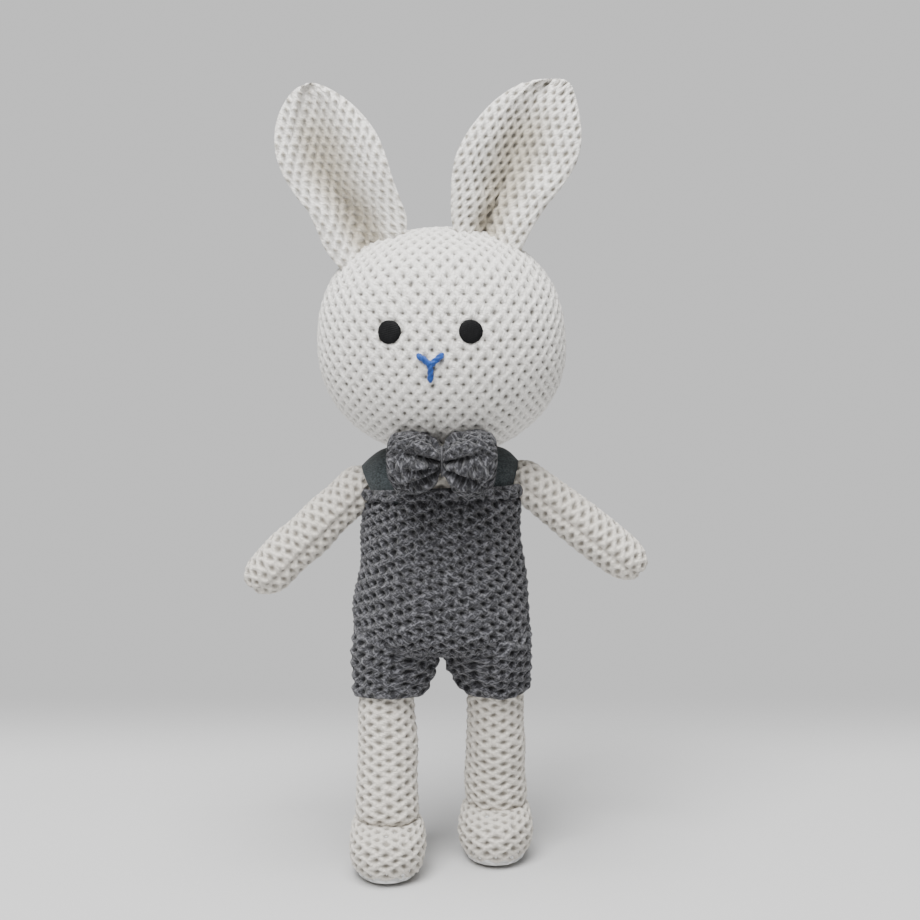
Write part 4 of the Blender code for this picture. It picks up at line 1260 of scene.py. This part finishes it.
def add_light(name, place, target, size, power):
    """A soft square light aimed at a point."""
    bpy.ops.object.light_add(type="AREA", location=place)
    light = bpy.context.object
    light.name = name
    light.data.size, light.data.energy = size, power
    light.rotation_euler = (Vector(target) - Vector(place)).to_track_quat("-Z", "Y").to_euler()


class RABBIT_OT_stage(bpy.types.Operator):
    """Lay the paper floor, the soft lights and the camera"""

    bl_idname = "rabbit.stage"
    bl_label = "Stage"

    def execute(self, context):
        tones = context.scene.rabbit_colours
        floor, s, t = new_grid("floor", 12, 12)
        depth = (FLOOR_BACK - FLOOR_FRONT) / 2
        set_points(floor, np.stack([s * 3.0, FLOOR_FRONT + depth * (1 + t), 0 * s - 0.0001], axis=1))
        made, graph, shader = new_material("floor_paper", 0.85, 0.0)
        place = graph.node("ShaderNodeTexCoord").outputs["Object"]
        fleck = graph.node("ShaderNodeTexNoise", Vector=place, Scale=6.0, Detail=4.0).outputs[0]
        grain = graph.node("ShaderNodeTexNoise", Vector=place, Scale=900.0, Detail=2.0).outputs[0]
        tone = tuple(tones.backdrop)
        light = tuple(min(part * 1.04, 1.0) for part in tone)
        graph.feed(shader.inputs["Base Color"], graph.mix(fleck, rgba(tone), rgba(light)))
        back = graph.node("ShaderNodeSeparateXYZ", Vector=place).outputs["Y"]
        away = graph.node("ShaderNodeVectorMath", {"operation": "LENGTH"}, Vector=place).outputs["Value"]
        cover = graph.math("MULTIPLY", graph.ramp(back, FLOOR_FADE, FLOOR_BACK - 0.01, 1.0, 0.0),
                           graph.ramp(away, 0.6, 1.5, 1.0, 0.0))
        graph.feed(shader.inputs["Alpha"], cover)
        bump(graph, shader, grain, 0.0001)
        floor.data.materials.append(made)

        for light_setup in LIGHTS:
            add_light(*light_setup)
        world = bpy.data.worlds.new("soft_room")
        world.use_nodes = True
        world.node_tree.nodes["Background"].inputs["Color"].default_value = (1, 1, 1, 1)
        room = Graph(world.node_tree)
        rise = room.node("ShaderNodeSeparateXYZ", Vector=room.node("ShaderNodeTexCoord").outputs["Generated"])
        room.feed(world.node_tree.nodes["Background"].inputs["Strength"],
                  room.ramp(rise.outputs["Z"], 0.03, 0.30, ROOM_LOW, ROOM_HIGH))
        context.scene.world = world

        bpy.ops.object.camera_add(
            location=VIEW_TARGET + Vector((0, -math.cos(VIEW_RISE), math.sin(VIEW_RISE))) * VIEW_DISTANCE,
            rotation=(math.pi / 2 - VIEW_RISE, 0, 0))
        camera = context.object
        camera.name = "camera"
        camera.data.lens, camera.data.sensor_width = LENS, SENSOR
        context.scene.camera = camera
        return {"FINISHED"}


class RABBIT_PT_panel(bpy.types.Panel):
    """Sizes, colours and steps of the rabbit"""

    bl_label = "Knitted Rabbit"
    bl_idname = "RABBIT_PT_panel"
    bl_space_type = "VIEW_3D"
    bl_region_type = "UI"
    bl_category = "Rabbit"

    def draw(self, context):
        column = self.layout.column()
        for group in (context.scene.rabbit_sizes, context.scene.rabbit_colours):
            for name in group.__annotations__:
                column.prop(group, name)
        for step in STEPS:
            column.operator(step.bl_idname)


STEPS = (RABBIT_OT_stage, RABBIT_OT_inside, RABBIT_OT_head, RABBIT_OT_face, RABBIT_OT_ears, RABBIT_OT_torso,
         RABBIT_OT_overalls, RABBIT_OT_arms, RABBIT_OT_legs, RABBIT_OT_booties, RABBIT_OT_shorts,
         RABBIT_OT_straps, RABBIT_OT_bow_tie)
CLASSES = (RabbitSizes, RabbitColours, *STEPS, RABBIT_PT_panel)
GROUPS = {}
MATERIALS = {}


def register():
    """Make the add-on's classes and settings known."""
    for item in CLASSES:
        bpy.utils.register_class(item)
    bpy.types.Scene.rabbit_sizes = PointerProperty(type=RabbitSizes)
    bpy.types.Scene.rabbit_colours = PointerProperty(type=RabbitColours)


def unregister():
    """Take the add-on's classes and settings away."""
    del bpy.types.Scene.rabbit_sizes, bpy.types.Scene.rabbit_colours
    for item in reversed(CLASSES):
        bpy.utils.unregister_class(item)


def mix_finishes():
    """Make the shader groups and every material."""
    scene = bpy.context.scene
    sizes, tones = scene.rabbit_sizes, scene.rabbit_colours
    GROUPS.update(knit=knit_group(), marl=marl_group(), fibre=fibre_group())
    MATERIALS.update(
        head=white_knit("head", tones.white_yarn),
        limb=white_knit("limb", tones.limb_yarn),
        ear=white_knit("ear", tones.white_yarn),
        overalls=grey_knit("overalls", sizes.overalls_slant),
        bow=grey_knit("bow", BOW_SLANT, 0.8, 0.38),
        felt=felt_material("strap_felt", tones.felt, 1500.0, 0.0002),
        stuffing=felt_material("loose_filling", FILLING, 420.0, 0.0006),
        eye=thread_material("eye_thread", tones.eye_thread, 0.0, 0.75),
        nose=thread_material("nose_thread", tones.nose_thread, 0.2, 0.5),
        marl_thread=thread_material("marl_thread", GATHERING_THREAD, 0.2, 0.8),
        sewing=thread_material("sewing_thread", tones.sewing_thread, 0.3, 0.7))


def main():
    """Model the whole rabbit."""
    register()
    mix_finishes()
    for step in STEPS:
        group, name = step.bl_idname.split(".")
        getattr(getattr(bpy.ops, group), name)()


if __name__ == "__main__":
    main()
